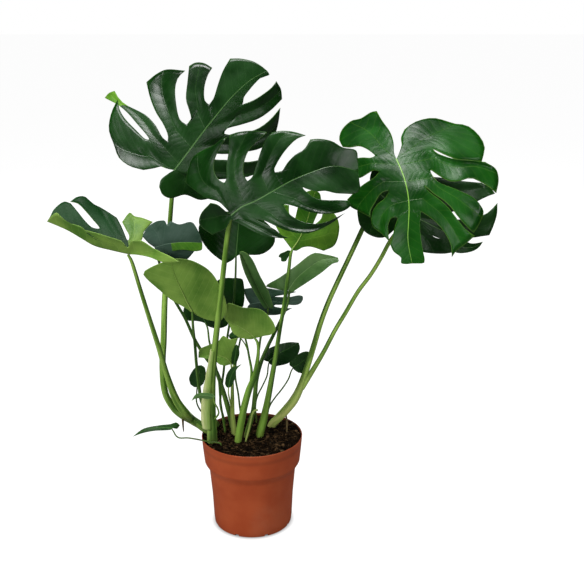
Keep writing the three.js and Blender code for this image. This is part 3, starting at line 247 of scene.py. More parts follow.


# The floor glows for the camera only, apart from a painted soft contact shadow round the pot's foot, where
# its glow fades to nothing.
def makeFloor():
    paint, tree, shader, place = newMaterial("paleFloor")
    tone = studio["floorTone"]
    shader.inputs["Base Color"].default_value = (tone, tone, tone, 1)
    shader.inputs["Roughness"].default_value = studio["floorRough"]
    shader.inputs["Specular IOR Level"].default_value = studio["floorGloss"]
    shader.inputs["Emission Color"].default_value = (1, 1, 1, 1)
    apart = addNode(tree, "VectorMath", {0: place}, operation="LENGTH").outputs["Value"]
    # Painted shadow: no glow under the pot, then a soft ramp up to full glow just past its foot.
    clear = rampOf(tree, apart, *studio["paintedContactShadow"], 0.0, studio["floorShine"])
    fromCamera = addNode(tree, "LightPath").outputs["Is Camera Ray"]
    tree.links.new(timesOf(tree, fromCamera, clear), shader.inputs["Emission Strength"])
    bm = bmesh.new()
    bmesh.ops.create_grid(bm, x_segments=1, y_segments=1, size=studio["floorSize"])
    floor = meshObject("floor", bm, [paint])


makeCamera()
makeLights()
makeFloor()
print("camera, light and floor are in")


# A shader group that finishes share, with its input and output nodes.
def newGroup(name, inputs, outputs):
    group = bpy.data.node_groups.new(name, "ShaderNodeTree")
    for flow, labels in (("INPUT", inputs), ("OUTPUT", outputs)):
        for label in labels:
            kind = "NodeSocketVector" if label == "Vector" else "NodeSocketFloat"
            group.interface.new_socket(name=label, in_out=flow, socket_type=kind)
    return group, group.nodes.new("NodeGroupInput"), group.nodes.new("NodeGroupOutput")


# How soft the edges of rib, veins and rim are, in mm past their width, and how deep each one lies.
veinShape = {"taper": 1.15, "ribSoft": (-0.25, 0.45, 1.0, 0.0), "veinSoft": (-0.3, 0.45, 1.0, 0.0),
             "fineSoft": (0.0, 0.07, 1.0, 0.0), "rim": (0.3, 1.6, 1.0, 0.0), "swell": 0.25, "veinDip": 0.5,
             "ribDip": 0.8}


# Rib, side veins and fine veins of a blade as masks, from the distances kept on its points.
def makeVeinGroup():
    marks = ["Rib", "Side Veins", "Fine Veins", "Height", "Edge"]
    group, entry, leave = newGroup("bladeVeins", ["Rib Width", "Vein Width"], marks)
    taper = mathOf(group, "SUBTRACT", veinShape["taper"], attributeOf(group, "ribShare"))
    ribWide = timesOf(group, entry.outputs["Rib Width"], taper)
    pastRib = mathOf(group, "SUBTRACT", attributeOf(group, "ribDist"), ribWide)
    pastVein = mathOf(group, "SUBTRACT", attributeOf(group, "sideDist"), entry.outputs["Vein Width"])
    rib = rampOf(group, pastRib, *veinShape["ribSoft"])
    sideVein = rampOf(group, pastVein, *veinShape["veinSoft"])
    wave = mathOf(group, "PINGPONG", attributeOf(group, "fan"), 0.5)
    fine = rampOf(group, wave, *veinShape["fineSoft"])
    swell = timesOf(group, mathOf(group, "SINE", timesOf(group, wave, math.pi)), veinShape["swell"])
    height = mathOf(group, "SUBTRACT", swell, timesOf(group, sideVein, veinShape["veinDip"]))
    height = mathOf(group, "SUBTRACT", height, timesOf(group, rib, veinShape["ribDip"]))
    edge = rampOf(group, attributeOf(group, "edgeDist"), *veinShape["rim"])
    for label, value in zip(marks, (rib, sideVein, fine, height, edge)):
        group.links.new(value, leave.inputs[label])
    return group


# Slow patches and a fine grain on living tissue, soil and plastic.
def makeMottleGroup():
    feeds = ["Vector", "Patch Scale", "Grain Scale"]
    group, entry, leave = newGroup("plantMottle", feeds, ["Patches", "Grain"])
    vector, patchScale, grainScale = list(entry.outputs)[:3]
    patches = rampOf(group, noiseOf(group, vector, patchScale, 4), 0.3, 0.7)
    group.links.new(patches, leave.inputs["Patches"])
    group.links.new(noiseOf(group, vector, grainScale, 2), leave.inputs["Grain"])
    return group


veinGroup = makeVeinGroup()
mottleGroup = makeMottleGroup()


def mottleOf(tree, vector, patchScale, grainScale):
    feeds = {"Vector": vector, "Patch Scale": patchScale, "Grain Scale": grainScale}
    outputs = addNode(tree, "Group", feeds, node_tree=mottleGroup).outputs
    return outputs["Patches"], outputs["Grain"]


leafLooks = {
    "deep": {
        "dark": (0.0004, 0.010, 0.0003), "light": (0.003, 0.033, 0.0012), "vein": (0.055, 0.13, 0.032),
        "rough": (0.27, 0.40), "ribWidth": 1.0, "veinWidth": 0.22, "fine": 0.06, "side": 0.3, "gloss": 0.5,
    },
    "fresh": {
        "dark": (0.0008, 0.024, 0.0004), "light": (0.005, 0.064, 0.0018), "vein": (0.18, 0.38, 0.05),
        "rough": (0.28, 0.38), "ribWidth": 0.9, "veinWidth": 0.22, "fine": 0.05, "side": 0.16, "gloss": 0.4,
    },
    "young": {
        "dark": (0.003, 0.025, 0.002), "light": (0.014, 0.058, 0.009), "vein": (0.05, 0.15, 0.022),
        "rough": (0.32, 0.42), "ribWidth": 0.9, "veinWidth": 0.22, "fine": 0.08, "side": 0.2, "gloss": 0.4,
    },
    # A copy for a leaf that lies in shade, painted dull and grey-green: painted shade with a painted
    # reflection of the bright backdrop.
    "shade": {
        "dark": (0.002, 0.024, 0.003), "light": (0.012, 0.045, 0.014), "vein": (0.05, 0.11, 0.04),
        "rough": (0.42, 0.52), "ribWidth": 1.0, "veinWidth": 0.22, "fine": 0.05, "side": 0.15, "gloss": 0.12,
    },
    # A grey-green copy with the bright backdrop's reflection painted into its colour: a painted sheen.
    "slate": {
        "dark": (0.014, 0.040, 0.022), "light": (0.046, 0.080, 0.060), "vein": (0.09, 0.15, 0.11),
        "rough": (0.40, 0.50), "ribWidth": 0.8, "veinWidth": 0.22, "fine": 0.10, "side": 0.25, "gloss": 0.3,
    },
    "mid": {
        "dark": (0.034, 0.095, 0.020), "light": (0.100, 0.190, 0.058), "vein": (0.12, 0.22, 0.07),
        "rough": (0.36, 0.46), "ribWidth": 0.9, "veinWidth": 0.22, "fine": 0.12, "side": 0.25, "gloss": 0.35,
    },
    # The under finish takes the underside's own paler green and lightens it further to paint in light
    # shining through the blade from above.
    "under": {
        "dark": (0.048, 0.128, 0.012), "light": (0.165, 0.275, 0.048), "vein": (0.30, 0.44, 0.12),
        "rough": (0.45, 0.60), "ribWidth": 0.7, "veinWidth": 0.3, "fine": 0.14, "side": 0.34, "gloss": 0.25,
    },
    "underRich": {
        "dark": (0.022, 0.095, 0.004), "light": (0.085, 0.200, 0.014), "vein": (0.16, 0.30, 0.04),
        "rough": (0.45, 0.60), "ribWidth": 0.7, "veinWidth": 0.3, "fine": 0.2, "side": 0.4, "gloss": 0.25,
    },
    "paleUnder": {
        "dark": (0.050, 0.105, 0.022), "light": (0.090, 0.160, 0.036), "vein": (0.17, 0.28, 0.07),
        "rough": (0.50, 0.65), "ribWidth": 1.2, "veinWidth": 0.35, "fine": 0.15, "side": 0.3, "gloss": 0.25,
    },
}
# What all the leaf finishes share: scales of the mottle, strength of rib and edge, height of the bump.
leafMake = {"patch": 17.0, "grain": 520.0, "rib": 0.85, "edge": 0.22, "grainHigh": 0.015,
            "billow": 36.0, "billowSoft": 1.5, "billowHigh": 2.2, "bump": (0.42, 0.0008)}


def leafMaterial(name, look):
    material, tree, shader, place = newMaterial(name)
    feeds = {"Rib Width": look["ribWidth"], "Vein Width": look["veinWidth"]}
    veins = addNode(tree, "Group", feeds, node_tree=veinGroup).outputs
    patches, grain = mottleOf(tree, place, leafMake["patch"], leafMake["grain"])
    colour = mixColour(tree, patches, look["dark"], look["light"])
    shares = {"Fine Veins": look["fine"], "Side Veins": look["side"]}
    shares.update({"Rib": leafMake["rib"], "Edge": leafMake["edge"]})
    for label, share in shares.items():
        colour = tint(tree, colour, veins[label], share, look["vein"])
    billow = noiseOf(tree, place, leafMake["billow"], leafMake["billowSoft"])
    height = mathOf(tree, "ADD", veins["Height"], timesOf(tree, grain, leafMake["grainHigh"]))
    height = mathOf(tree, "ADD", height, timesOf(tree, billow, leafMake["billowHigh"]))
    rough = rampOf(tree, patches, 0.0, 1.0, *look["rough"])
    coat(tree, shader, colour, rough, look["gloss"], height, leafMake["bump"])
    return material


leafPaints = {}
for lookName, leafLook in leafLooks.items():
    leafPaints[lookName] = leafMaterial("leaf" + lookName[0].upper() + lookName[1:], leafLook)
print("leaf finishes are mixed")

# Each leaf: the rib, how much of it carries side lobes, how it lies [back at its foot, lean, bow], how each
# half folds, and its lobes: near edge, rim, far edge, gap end; the last is the tip lobe: near edge, rim.
leaves = {
    "leaf_top_left": {
        "rib": [[-137, 602], [-117, 628], [-84, 672], [-60, 702], [-35, 731], [-5, 758], [24, 774]],
        "reach": 0.46, "lie": [40, 0.5, -0.05], "fold": {"left": [0.05, 0.16], "right": [0.12, 0.2]},
        "left": [
            [[[-148, 604], [-158, 608], [-172, 605]], [[-190, 602], [-214, 609], [-233, 624], [-241, 645],
             [-250, 672], [-246, 700], [-235, 724]], [[-231, 706], [-221, 690], [-200, 669], [-187, 657]],
             [-180, 655]],
            [[[-186, 663], [-202, 682], [-217, 700], [-233, 714]], [[-257, 727], [-250, 735], [-240, 739]],
             [[-231, 724], [-217, 713], [-202, 706], [-184, 696], [-168, 679], [-157, 660]], [-149, 652]],
            [[[-149, 662], [-157, 682], [-169, 702], [-179, 728]], [[-185, 754], [-168, 768], [-150, 776],
             [-118, 774]], [[-130, 762], [-135, 742], [-132, 712], [-126, 690]], [-116, 681]],
            [[[-109, 690], [-112, 706], [-117, 725], [-114, 755]], [[-111, 782], [-100, 788], [-85, 787],
             [-71, 779]], [[-79, 765], [-84, 745], [-83, 724]], [-77, 716]],
            [[[-70, 726], [-61, 752], [-52, 775]], [[-40, 795], [-22, 795], [0, 790], [14, 782]]],
        ],
        "right": [
            [[[-147, 596], [-160, 585]], [[-163, 573], [-157, 559], [-143, 553], [-118, 559], [-93, 550],
             [-78, 552]], [[-70, 566], [-72, 580]], [-84, 592]],
            [[[-76, 586], [-62, 585], [-40, 587]], [[-10, 590], [14, 600], [20, 622]], [[4, 618],
             [-14, 616], [-46, 620], [-66, 621]], [-84, 625]],
            [[[-74, 629], [-46, 629], [-8, 634], [14, 640]], [[36, 655], [43, 682], [47, 710]], [[32, 692],
             [15, 678], [0, 671], [-20, 667], [-38, 664]], [-50, 665]],
            [[[-46, 672], [-20, 680], [8, 690], [30, 705]], [[50, 725], [48, 742], [40, 756]], [[33, 746],
             [18, 734], [0, 723]], [-18, 716]],
            [[], [[-17.5, 719], [-16, 728], [-8, 739], [3, 752], [14, 762], [28, 767]]],
        ],
    },
    "leaf_front": {
        "rib": [[-38, 524], [-20, 538], [5, 549], [35, 566], [65, 583], [100, 598], [140, 609], [182, 600]],
        "reach": 0.42, "lie": [-95, -0.05, 0.08], "fold": {"left": [0.15, 0.15], "right": [-0.5, 0.18]},
        "left": [
            [[[-47, 535], [-60, 547], [-80, 553], [-100, 566]], [[-117, 580], [-113, 602], [-104, 624],
             [-88, 636], [-68, 645], [-55, 655], [-46, 659]], [[-58, 640], [-67, 618], [-67, 600],
             [-60, 587]], [-50, 580]],
            [[[-47, 590], [-47, 608], [-43, 632]], [[-41, 663], [-24, 668], [0, 670], [24, 668]], [[8, 653],
             [-7, 637], [-15, 616], [-16, 597]], [-10, 583]],
            [[[-2, 592], [6, 614], [15, 640], [23, 656]], [[33, 667], [50, 670], [70, 668], [91, 662]],
             [[76, 656], [62, 643], [50, 627], [38, 604]], [38, 598]],
            [[[48, 600], [58, 614], [72, 628], [88, 638]], [[99, 655], [114, 656], [136, 652], [155, 641],
             [178, 636], [181, 618]]],
        ],
        "right": [
            [[[-48, 531], [-62, 542]], [[-74, 545], [-90, 527], [-94, 510], [-86, 500], [-71, 490]],
             [[-59, 495], [-46, 502], [-41, 510]], [-38, 516]],
            [[[-33, 513], [-20, 506], [0, 496], [22, 487]], [[44, 484], [62, 484]], [[50, 489], [38, 499],
             [22, 508]], [6, 516]],
            [[[20, 513], [38, 505], [55, 498], [75, 493]], [[95, 492], [118, 500], [138, 512], [160, 528]],
             [[144, 520], [126, 512], [108, 509], [88, 512], [72, 520], [60, 530]], [53, 542]],
            [[[60, 541], [76, 537], [95, 530]], [[115, 526], [142, 527], [160, 533], [169, 541],
             [166, 549]], [[145, 550], [118, 551], [104, 556], [94, 564]], [86, 571]],
            [[], [[94, 569], [108, 565], [125, 566], [142, 562], [160, 561], [177, 561], [185, 568],
             [184, 582]]],
        ],
    },
    "leaf_right": {
        "rib": [[248, 621], [256, 603], [263, 583], [268, 560], [270, 535], [269, 510], [268, 480],
                [275, 440]],
        "reach": 0.5, "lie": [8, -0.75, 0.15], "fold": {"left": [0.1, 0.09], "right": [0.1, 0.2]},
        "left": [
            [[[253, 632], [257, 645], [256, 658]], [[262, 672], [280, 685], [312, 692], [350, 682],
             [370, 679], [390, 663], [401, 642, 1], [396, 617, 3]], [[380, 616, 3], [357, 619, 3],
             [335, 627, 2]], [312, 638, 3]],
            [[[318, 632], [332, 626], [350, 621, -2], [375, 619, -4]], [[402, 616, -4], [420, 604],
             [425, 585], [421, 562]], [[411, 571], [396, 580], [377, 588], [358, 583], [340, 582, 4],
             [320, 592, 5]], [307, 602, 2]],
            [[[314, 588], [328, 578], [346, 571], [366, 562], [380, 555]], [[391, 545], [399, 530],
             [393, 511], [382, 493]], [[371, 503], [354, 522], [341, 539], [327, 551], [312, 561]],
             [297, 574]],
            [[[308, 562], [324, 550], [338, 537], [352, 519], [368, 499]], [[384, 488], [368, 474],
             [352, 462], [344, 451]], [[343, 470], [335, 488], [322, 506], [306, 520]], [291, 530]],
            [[], [[290.5, 527], [289, 518], [289, 500], [291, 480], [294, 462], [297, 448], [296, 441],
             [285, 440]]],
        ],
        "right": [
            [[[244, 632], [243, 650], [237, 668], [223, 688]], [[214, 704], [204, 702], [186, 691],
             [170, 687], [154, 672], [149, 655], [155, 642]], [[168, 641], [184, 643], [198, 637]],
             [211, 627]],
            [[[202, 624], [190, 624], [178, 622]], [[164, 618], [158, 605], [166, 590]], [[184, 588],
             [198, 595], [208, 600]], [218, 599]],
            [[[208, 589], [196, 581], [182, 570]], [[163, 551], [168, 539], [184, 530], [203, 520]],
             [[203, 531], [211, 545], [221, 560]], [235, 566]],
            [[[227, 553], [217, 545], [208, 532]], [[204, 516], [208, 503], [222, 492], [236, 478]],
             [[234, 492], [234, 507], [240, 518]], [250, 519]],
            [[[246, 507], [243, 495], [241, 484]], [[237, 474], [243, 461], [256, 450], [256, 441],
             [264, 439]]],
        ],
    },
    "leaf_right_rear": {
        "rib": [[216, 563], [250, 538], [300, 511], [336, 492], [351, 477], [365, 468], [381, 468],
                [398, 478]],
        "reach": 0.53, "lie": [66, 0.05, 0.02], "fold": {"left": [0.2, 0.08], "right": [-0.35, 0.1]},
        "left": [
            [[[208, 574], [202, 586]], [[205, 600], [225, 618], [262, 622]], [[272, 606], [268, 582]],
             [262, 566]],
            [[[280, 580], [310, 590], [352, 584]], [[395, 580], [411, 571], [419, 561]], [[405, 556],
             [389, 548], [360, 534], [330, 526]], [305, 528]],
            [[[325, 518], [360, 517], [385, 520], [406, 528]], [[423, 545], [422, 525], [416, 505],
             [409, 489]], [[395, 487], [378, 485], [360, 492]], [332, 502]],
            [[[343, 498]], [[354, 488], [364, 480], [378, 475], [390, 476]]],
        ],
        "right": [
            [[[204, 559], [188, 549]], [[180, 530], [184, 508], [196, 493], [214, 485], [229, 486],
             [243, 497]], [[252, 508]], [258, 520]],
            [[[262, 507], [268, 490], [274, 474]], [[283, 462], [305, 458], [330, 457], [345, 459]],
             [[343, 469], [336, 480], [324, 483], [314, 486]], [306, 491]],
            [[], [[311, 488], [321, 484], [331, 479], [339, 473], [345, 466], [351, 459], [365, 458],
             [382, 462], [392, 469]]],
        ],
    },
    "leaf_left": {
        "rib": [[-214, 456], [-245, 463], [-275, 471], [-298, 484], [-320, 497], [-342, 507], [-357, 513]],
        "reach": 0.27, "lie": [-58, 0, 0], "fold": {"left": [-0.95, 0.35], "right": [0.85, 0.1]},
        "left": [
            [[[-200, 455], [-180, 451], [-155, 442]], [[-127, 443], [-145, 453], [-172, 466], [-195, 480],
             [-212, 479]], [[-216, 473]], [-218, 468]],
            [[[-222, 473]], [[-230, 480], [-250, 486], [-272, 493], [-292, 498]], [[-280, 489],
             [-266, 480]], [-252, 474]],
            [[], [[-262, 478.5], [-275, 483], [-286, 491], [-297, 503], [-320, 511], [-333, 521],
             [-341, 528], [-352, 520]]],
        ],
        "right": [
            [[[-205, 468], [-193, 481], [-189, 495]], [[-174, 512], [-192, 519], [-206, 522], [-214, 528],
             [-227, 512]], [[-221, 500], [-216, 489]], [-217, 480]],
            [[[-221, 489], [-228, 504]], [[-236, 519], [-262, 536], [-280, 545], [-292, 556], [-306, 555],
             [-317, 547]], [[-304, 544], [-290, 530], [-276, 513]], [-266, 501]],
            [[[-278, 503], [-290, 513], [-305, 531]], [[-316, 544], [-328, 547], [-345, 534], [-352, 521]]],
        ],
    },
    "leaf_left_rear": {
        "rib": [[-171, 468], [-150, 474], [-120, 477], [-88, 476]],
        "reach": 0.35, "lie": [-46, 0.1, 0], "fold": {"left": [0.1, 0.2], "right": [-0.3, 0.4]},
        "left": [
            [[[-182, 476]], [[-192, 487], [-184, 502], [-168, 513], [-155, 515]], [[-152, 513]],
             [-149, 508]],
            [[[-146, 512]], [[-142, 513], [-128, 508], [-107, 512], [-96, 498]]],
        ],
        "right": [
            [[[-168, 461]], [[-158, 454], [-140, 445], [-118, 445], [-100, 463, 3]], [[-120, 465, 3]],
             [-140, 462]],
            [[[-122, 464]], [[-98, 461], [-89, 464]]],
        ],
    },
    "leaf_under_left": {
        "rib": [[-104, 354], [-112, 368], [-124, 393], [-136, 420], [-143, 446]],
        "lie": [-44, -0.25, 0], "fold": {"left": [0.1, 0.1], "right": [-0.1, 0.12]},
        "left": [
            [[], [[-109, 357], [-117, 363], [-140, 376], [-160, 392], [-191, 422], [-182, 431],
             [-160, 441]]],
        ],
        "right": [
            [[[-97, 350]], [[-84, 344], [-60, 340], [-46, 353], [-50, 383], [-72, 424], [-103, 444],
             [-130, 449]]],
        ],
    },
    "leaf_under_middle": {
        "rib": [[3, 311], [-8, 321], [-28, 333], [-50, 345]],
        "lie": [-18, 0.05, 0], "fold": {"left": [-0.1, 0.1], "right": [-0.15, 0.15]},
        "left": [[[[-2, 309]], [[-10, 309], [-24, 312], [-36, 321], [-41, 333]]]],
        "right": [
            [[[9, 312]], [[18, 315], [32, 317], [39, 325], [32, 343], [12, 361], [-18, 364], [-45, 371]]],
        ],
    },
    "leaf_behind_front": {
        "rib": [[-30, 452], [-28, 475], [-26, 500], [-24, 530]],
        "lie": [-12, 0.15, 0], "fold": {"left": [0.15, 0.3], "right": [0.15, 0.3]},
        "left": [[[[-36, 446]], [[-47, 440], [-66, 453], [-82, 469], [-94, 492], [-92, 510], [-70, 528]]]],
        "right": [[[[-24, 455]], [[-12, 455], [14, 456], [33, 469], [38, 485], [28, 506], [2, 524]]]],
    },
    "leaf_folded": {
        "rib": [[27, 363], [16, 382], [2, 410], [-12, 440], [-23, 461]],
        "lie": [6, -0.3, 0], "fold": {"left": [-0.8, 0], "right": [-1.1, 0]},
        "left": [[[[21, 362]], [[16, 367], [0, 394], [-14, 422], [-23, 452]]]],
        "right": [[[[33, 362]], [[34, 368], [26, 392], [12, 418], [-3, 449], [-17, 461]]]],
    },
    "leaf_middle_right": {
        "rib": [[61, 394], [75, 414], [97, 433], [120, 447], [147, 450]],
        "lie": [16, 0.05, 0], "fold": {"left": [0.2, 0.3], "right": [-0.7, 0.3]},
        "left": [
            [[[53, 393]], [[40, 396], [22, 401], [46, 416], [75, 437], [104, 458], [124, 456], [142, 452]]],
        ],
        "right": [[[[66, 390]], [[76, 396], [96, 409], [118, 424], [138, 440], [148, 443]]]],
    },
    "leaf_rear_slit": {
        "rib": [[-6, 370], [25, 374], [60, 373], [86, 377]],
        "reach": 0.4, "lie": [40, 0, 0], "fold": {"left": [0.15, 0.1], "right": [-0.2, 0.1]},
        "left": [
            [[[-12, 380]], [[-18, 396], [10, 399], [48, 394], [76, 391]], [[60, 387]], [38, 383]],
            [[], [[46, 382], [62, 382], [79, 385], [86, 383]]],
        ],
        "right": [
            [[[-10, 364]], [[0, 356], [22, 351], [46, 352], [68, 363]], [[54, 363]], [36, 367]],
            [[], [[54, 369], [73, 368], [82, 371]]],
        ],
    },
    "leaf_rear_dark": {
        "rib": [[-32, 362], [-33, 380], [-34, 398], [-35, 415]],
        "lie": [28, 0.1, 0], "fold": {"left": [0.2, 0.1], "right": [0.2, 0.1]},
        "left": [[[[-40, 358]], [[-50, 362], [-58, 380], [-63, 409], [-48, 415]]]],
        "right": [[[[-26, 360]], [[-17, 366], [-15, 381], [-18, 412], [-26, 415]]]],
    },
    "leaf_under_right": {
        "rib": [[67, 464], [78, 480], [92, 510], [108, 568]],
        "reach": 0.4, "lie": [-12, 0.1, 0], "fold": {"left": [0.1, 0.2], "right": [0.1, 0.2]},
        "left": [
            [[[58, 476], [46, 492]], [[36, 511], [44, 532], [53, 542], [62, 541]], [[63, 527]], [71, 517]],
            [[[75, 530]], [[80, 547], [92, 564]]],
        ],
        "right": [
            [[[74, 462], [86, 468], [100, 469]], [[122, 462], [141, 472], [149, 498], [146, 518],
             [136, 532]], [[122, 530], [117, 518]], [105, 508]],
            [[[110, 522]], [[118, 540], [116, 560]]],
        ],
    },
    "leaf_bud_round": {
        "rib": [[65.1, 462], [57, 457], [48, 450]],
        "lie": [-15, 0.3, 0], "fold": {"left": [-0.4, 0], "right": [-0.4, 0]},
        "left": [[[], [[63, 456], [60, 450], [56, 444], [49, 444]]]],
        "right": [[[], [[60, 463], [54, 460], [47, 457], [44, 452]]]],
    },
    "leaf_under_low": {
        "rib": [[-37, 264], [-43, 273], [-53, 279], [-72, 282], [-95, 277]],
        "lie": [-12, 0.1, 0], "fold": {"left": [-0.4, 0.1], "right": [-0.1, 0.2]},
        "left": [[[[-40, 265]], [[-48, 263], [-58, 265], [-66, 271], [-84, 276]]]],
        "right": [
            [[[-37, 274], [-33, 290]], [[-26, 312], [-41, 309], [-52, 315], [-61, 305], [-77, 299],
             [-93, 291]]],
        ],
    },
    "leaf_new": {
        "rib": [[-34, 263], [-31, 280], [-28, 300]],
        "lie": [-20, 0, 0], "fold": {"left": [0.9, 0], "right": [0.9, 0]},
        "left": [[[[-37, 267]], [[-38, 276], [-35, 290], [-30, 299]]]],
        "right": [[[[-30, 267]], [[-26, 275], [-24, 284], [-25, 294]]]],
    },
    "leaf_round_left": {
        "rib": [[-97, 226], [-95, 244], [-90, 264]],
        "lie": [22, 0.2, 0], "fold": {"left": [0.1, 0.3], "right": [0.1, 0.3]},
        "left": [[[[-102, 226]], [[-109, 231], [-111, 242], [-104, 256], [-96, 263]]]],
        "right": [[[[-92, 227]], [[-86, 232], [-82, 246], [-84, 260]]]],
    },
    "leaf_narrow": {
        "rib": [[-43, 225], [-40, 240], [-33, 255], [-20, 266]],
        "lie": [-24, 0, 0], "fold": {"left": [0.3, 0.3], "right": [0.3, 0.3]},
        "left": [[[[-46, 226]], [[-49, 232], [-46, 248], [-38, 259], [-29, 262]]]],
        "right": [[[[-40, 226]], [[-36, 230], [-31, 243], [-29, 256]]]],
    },
    "leaf_across": {
        "rib": [[-66, 209], [-80, 211], [-94, 211], [-107, 202]],
        "lie": [-66, 0.3, 0], "fold": {"left": [0.3, 0], "right": [0.3, 0]},
        "left": [[[[-70, 206]], [[-80, 205.5], [-92, 207], [-100, 206]]]],
        "right": [[[[-69, 213]], [[-77, 216], [-90, 216], [-100, 213]]]],
    },
    "leaf_low_right": {
        "rib": [[26, 270], [40, 282], [60, 292], [79, 303]],
        "lie": [20, 0.1, 0], "fold": {"left": [0.3, 0.3], "right": [-0.3, 0.3]},
        "left": [[[[20, 272]], [[14, 280], [24, 291], [44, 300], [64, 304]]]],
        "right": [[[[30, 265]], [[40, 262], [60, 267], [75, 279], [81, 293]]]],
    },
    "leaf_low_right_rear": {
        "rib": [[68, 260], [82, 268], [102, 284]],
        "lie": [48, 0, 0], "fold": {"left": [0.2, 0.2], "right": [-0.2, 0.2]},
        "left": [[[[63, 264]], [[63, 270], [78, 283], [92, 288]]]],
        "right": [[[[71, 256]], [[78, 251], [90, 250], [99, 264]]]],
    },
    "leaf_trailing": {
        "rib": [[-139, 155], [-160, 156], [-185, 152.5], [-209, 140]],
        "lie": [-42, 0, 0], "fold": {"left": [-0.5, 0], "right": [0.5, 0]},
        "left": [[[[-143, 152]], [[-152, 151], [-172, 150], [-192, 146]]]],
        "right": [[[[-132, 154]], [[-127, 160], [-133, 165], [-143, 162], [-162, 160], [-190, 154]]]],
    },
    "leaf_behind_left": {
        "rib": [[-82, 336], [-90, 352], [-100, 372]],
        "lie": [8, 0, 0], "fold": {"left": [0.2, 0.2], "right": [0.2, 0.2]},
        "left": [[[], [[-88, 339], [-100, 341], [-114, 342], [-121, 358], [-114, 372]]]],
        "right": [[[[-77, 331]], [[-64, 327], [-50, 330], [-43, 336], [-56, 352], [-80, 370]]]],
    },
    "leaf_low_middle": {
        "rib": [[-22, 313], [-30, 316], [-42, 312]],
        "lie": [-2, 0, 0], "fold": {"left": [-0.2, 0], "right": [0.2, 0]},
        "left": [[[[-25, 311]], [[-30, 309], [-38, 309]]]],
        "right": [[[[-20, 318]], [[-26, 324], [-36, 322], [-42, 316]]]],
    },
}

# How each leaf is dressed: the finish of its upper side, of its underside, and the side it turns to the
# front: 1 for the upper one, -1 for the underside.
leafDress = {
    "leaf_top_left": ("deep", "underRich", 1), "leaf_front": ("deep", "paleUnder", 1),
    "leaf_right": ("fresh", "paleUnder", 1), "leaf_right_rear": ("deep", "paleUnder", 1),
    "leaf_left": ("shade", "under", 1), "leaf_left_rear": ("slate", "underRich", 1),
    "leaf_under_left": ("deep", "under", -1), "leaf_under_middle": ("deep", "under", -1),
    "leaf_behind_front": ("deep", "paleUnder", 1), "leaf_folded": ("mid", "paleUnder", 1),
    "leaf_middle_right": ("mid", "under", 1), "leaf_rear_slit": ("slate", "paleUnder", 1),
    "leaf_rear_dark": ("deep", "paleUnder", 1), "leaf_under_right": ("fresh", "underRich", -1),
    "leaf_bud_round": ("young", "paleUnder", 1), "leaf_under_low": ("young", "under", -1),
    "leaf_new": ("young", "under", 1), "leaf_round_left": ("young", "under", 1),
    "leaf_narrow": ("young", "paleUnder", 1), "leaf_across": ("mid", "under", 1),
    "leaf_low_right": ("deep", "under", 1), "leaf_low_right_rear": ("young", "paleUnder", 1),
    "leaf_trailing": ("young", "paleUnder", 1), "leaf_behind_left": ("deep", "paleUnder", 1),
    "leaf_low_middle": ("young", "paleUnder", 1),
}
# Lobes that show their pale underside to the front: side, number from the foot, and from what share out.
paleLobes = {"leaf_top_left": ("left", 1, 0.86), "leaf_left": ("right", 0, 0),
             "leaf_left_rear": ("right", 1, 0)}
bladeMake = {
    "thickness": 0.9, "thinShare": 0.75, "thinBelow": 110, "inner": 8, "outer": 14, "perLobe": 16,
    "tipCells": 20, "heartRows": 20, "gapRound": 2.6, "gapEase": 1.35, "lobeCrowd": 1.15, "tipCrowd": 1.3,
    "tipLocal": 4, "trough": 2.4, "troughWidth": 50, "troughSpan": (0.2, 1.2), "troughPower": 4,
    "troughRise": 2.5, "wave": 2.4, "wavePitch": 0.022, "waveFrom": 30, "leastWave": 0.15, "fullSize": 150,
    "ribDots": 24, "merge": 2e-5, "speck": 1e-6,
}
# Vein spacing and slant in mm; far stands for a point with no side vein or gap near it.
veinMake = {"gap": 15.0, "leastGap": 3, "gapsAlong": 8, "gapBelow": 180, "tipSlant": 0.75,
            "tipBend": 0.0012, "lobeSlant": 0.8, "lobeGap": 11.0, "edgeFrom": 0.36, "far": 30.0,
            "leastRib": 0.4}


def flat3(p):
    return [p[0], p[1], p[2] if len(p) > 2 else 0.0]


def lerp(a, b, t):
    return [x + (y - x) * t for x, y in zip(a, b)]


class Rib:
    def __init__(self, leaf):
        self.foot, tip = leaf["rib"][0], leaf["rib"][-1]
        self.dots = [curveAt(leaf["rib"], i / bladeMake["ribDots"]) for i in range(bladeMake["ribDots"] + 1)]
        self.long = math.dist(self.foot, tip)
        self.ahead = ((tip[0] - self.foot[0]) / self.long, (tip[1] - self.foot[1]) / self.long)

    def distance(self, p):
        best = math.inf
        for a, b in zip(self.dots, self.dots[1:]):
            dx, dy = b[0] - a[0], b[1] - a[1]
            t = clamp(((p[0] - a[0]) * dx + (p[1] - a[1]) * dy) / (dx * dx + dy * dy), 0, 1)
            best = min(best, math.hypot(p[0] - a[0] - t * dx, p[1] - a[1] - t * dy))
        return best

    def run(self, p):
        return (p[0] - self.foot[0]) * self.ahead[0] + (p[1] - self.foot[1]) * self.ahead[1]


def depthOf(leaf, rib, side, p, q):
    a = rib.run(p)
    at, lean, bow = leaf["lie"]
    slope, bend = leaf["fold"][side]
    return at + lean * a + bow * a * a / 100 + slope * q + bend * q * q / 100 + p[2]


# Where a point of a leaf's midrib stands, in the picture and behind it.
def ribPoint(leaf, share):
    p = flat3(curveAt(leaf["rib"], share))
    return p[0], p[1], depthOf(leaf, Rib(leaf), "left", p, 0)


# Twice the area of the smaller triangle of a quad, below zero where the quad has turned over.
def turned(side, a, b, c, d):
    sign = 1 if side == "left" else -1

    def area(p, q, r):
        return sign * ((q[0] - p[0]) * (r[1] - p[1]) - (q[1] - p[1]) * (r[0] - p[0]))

    return max(min(area(a, b, c), area(a, c, d)), min(area(a, b, d), area(b, c, d)))


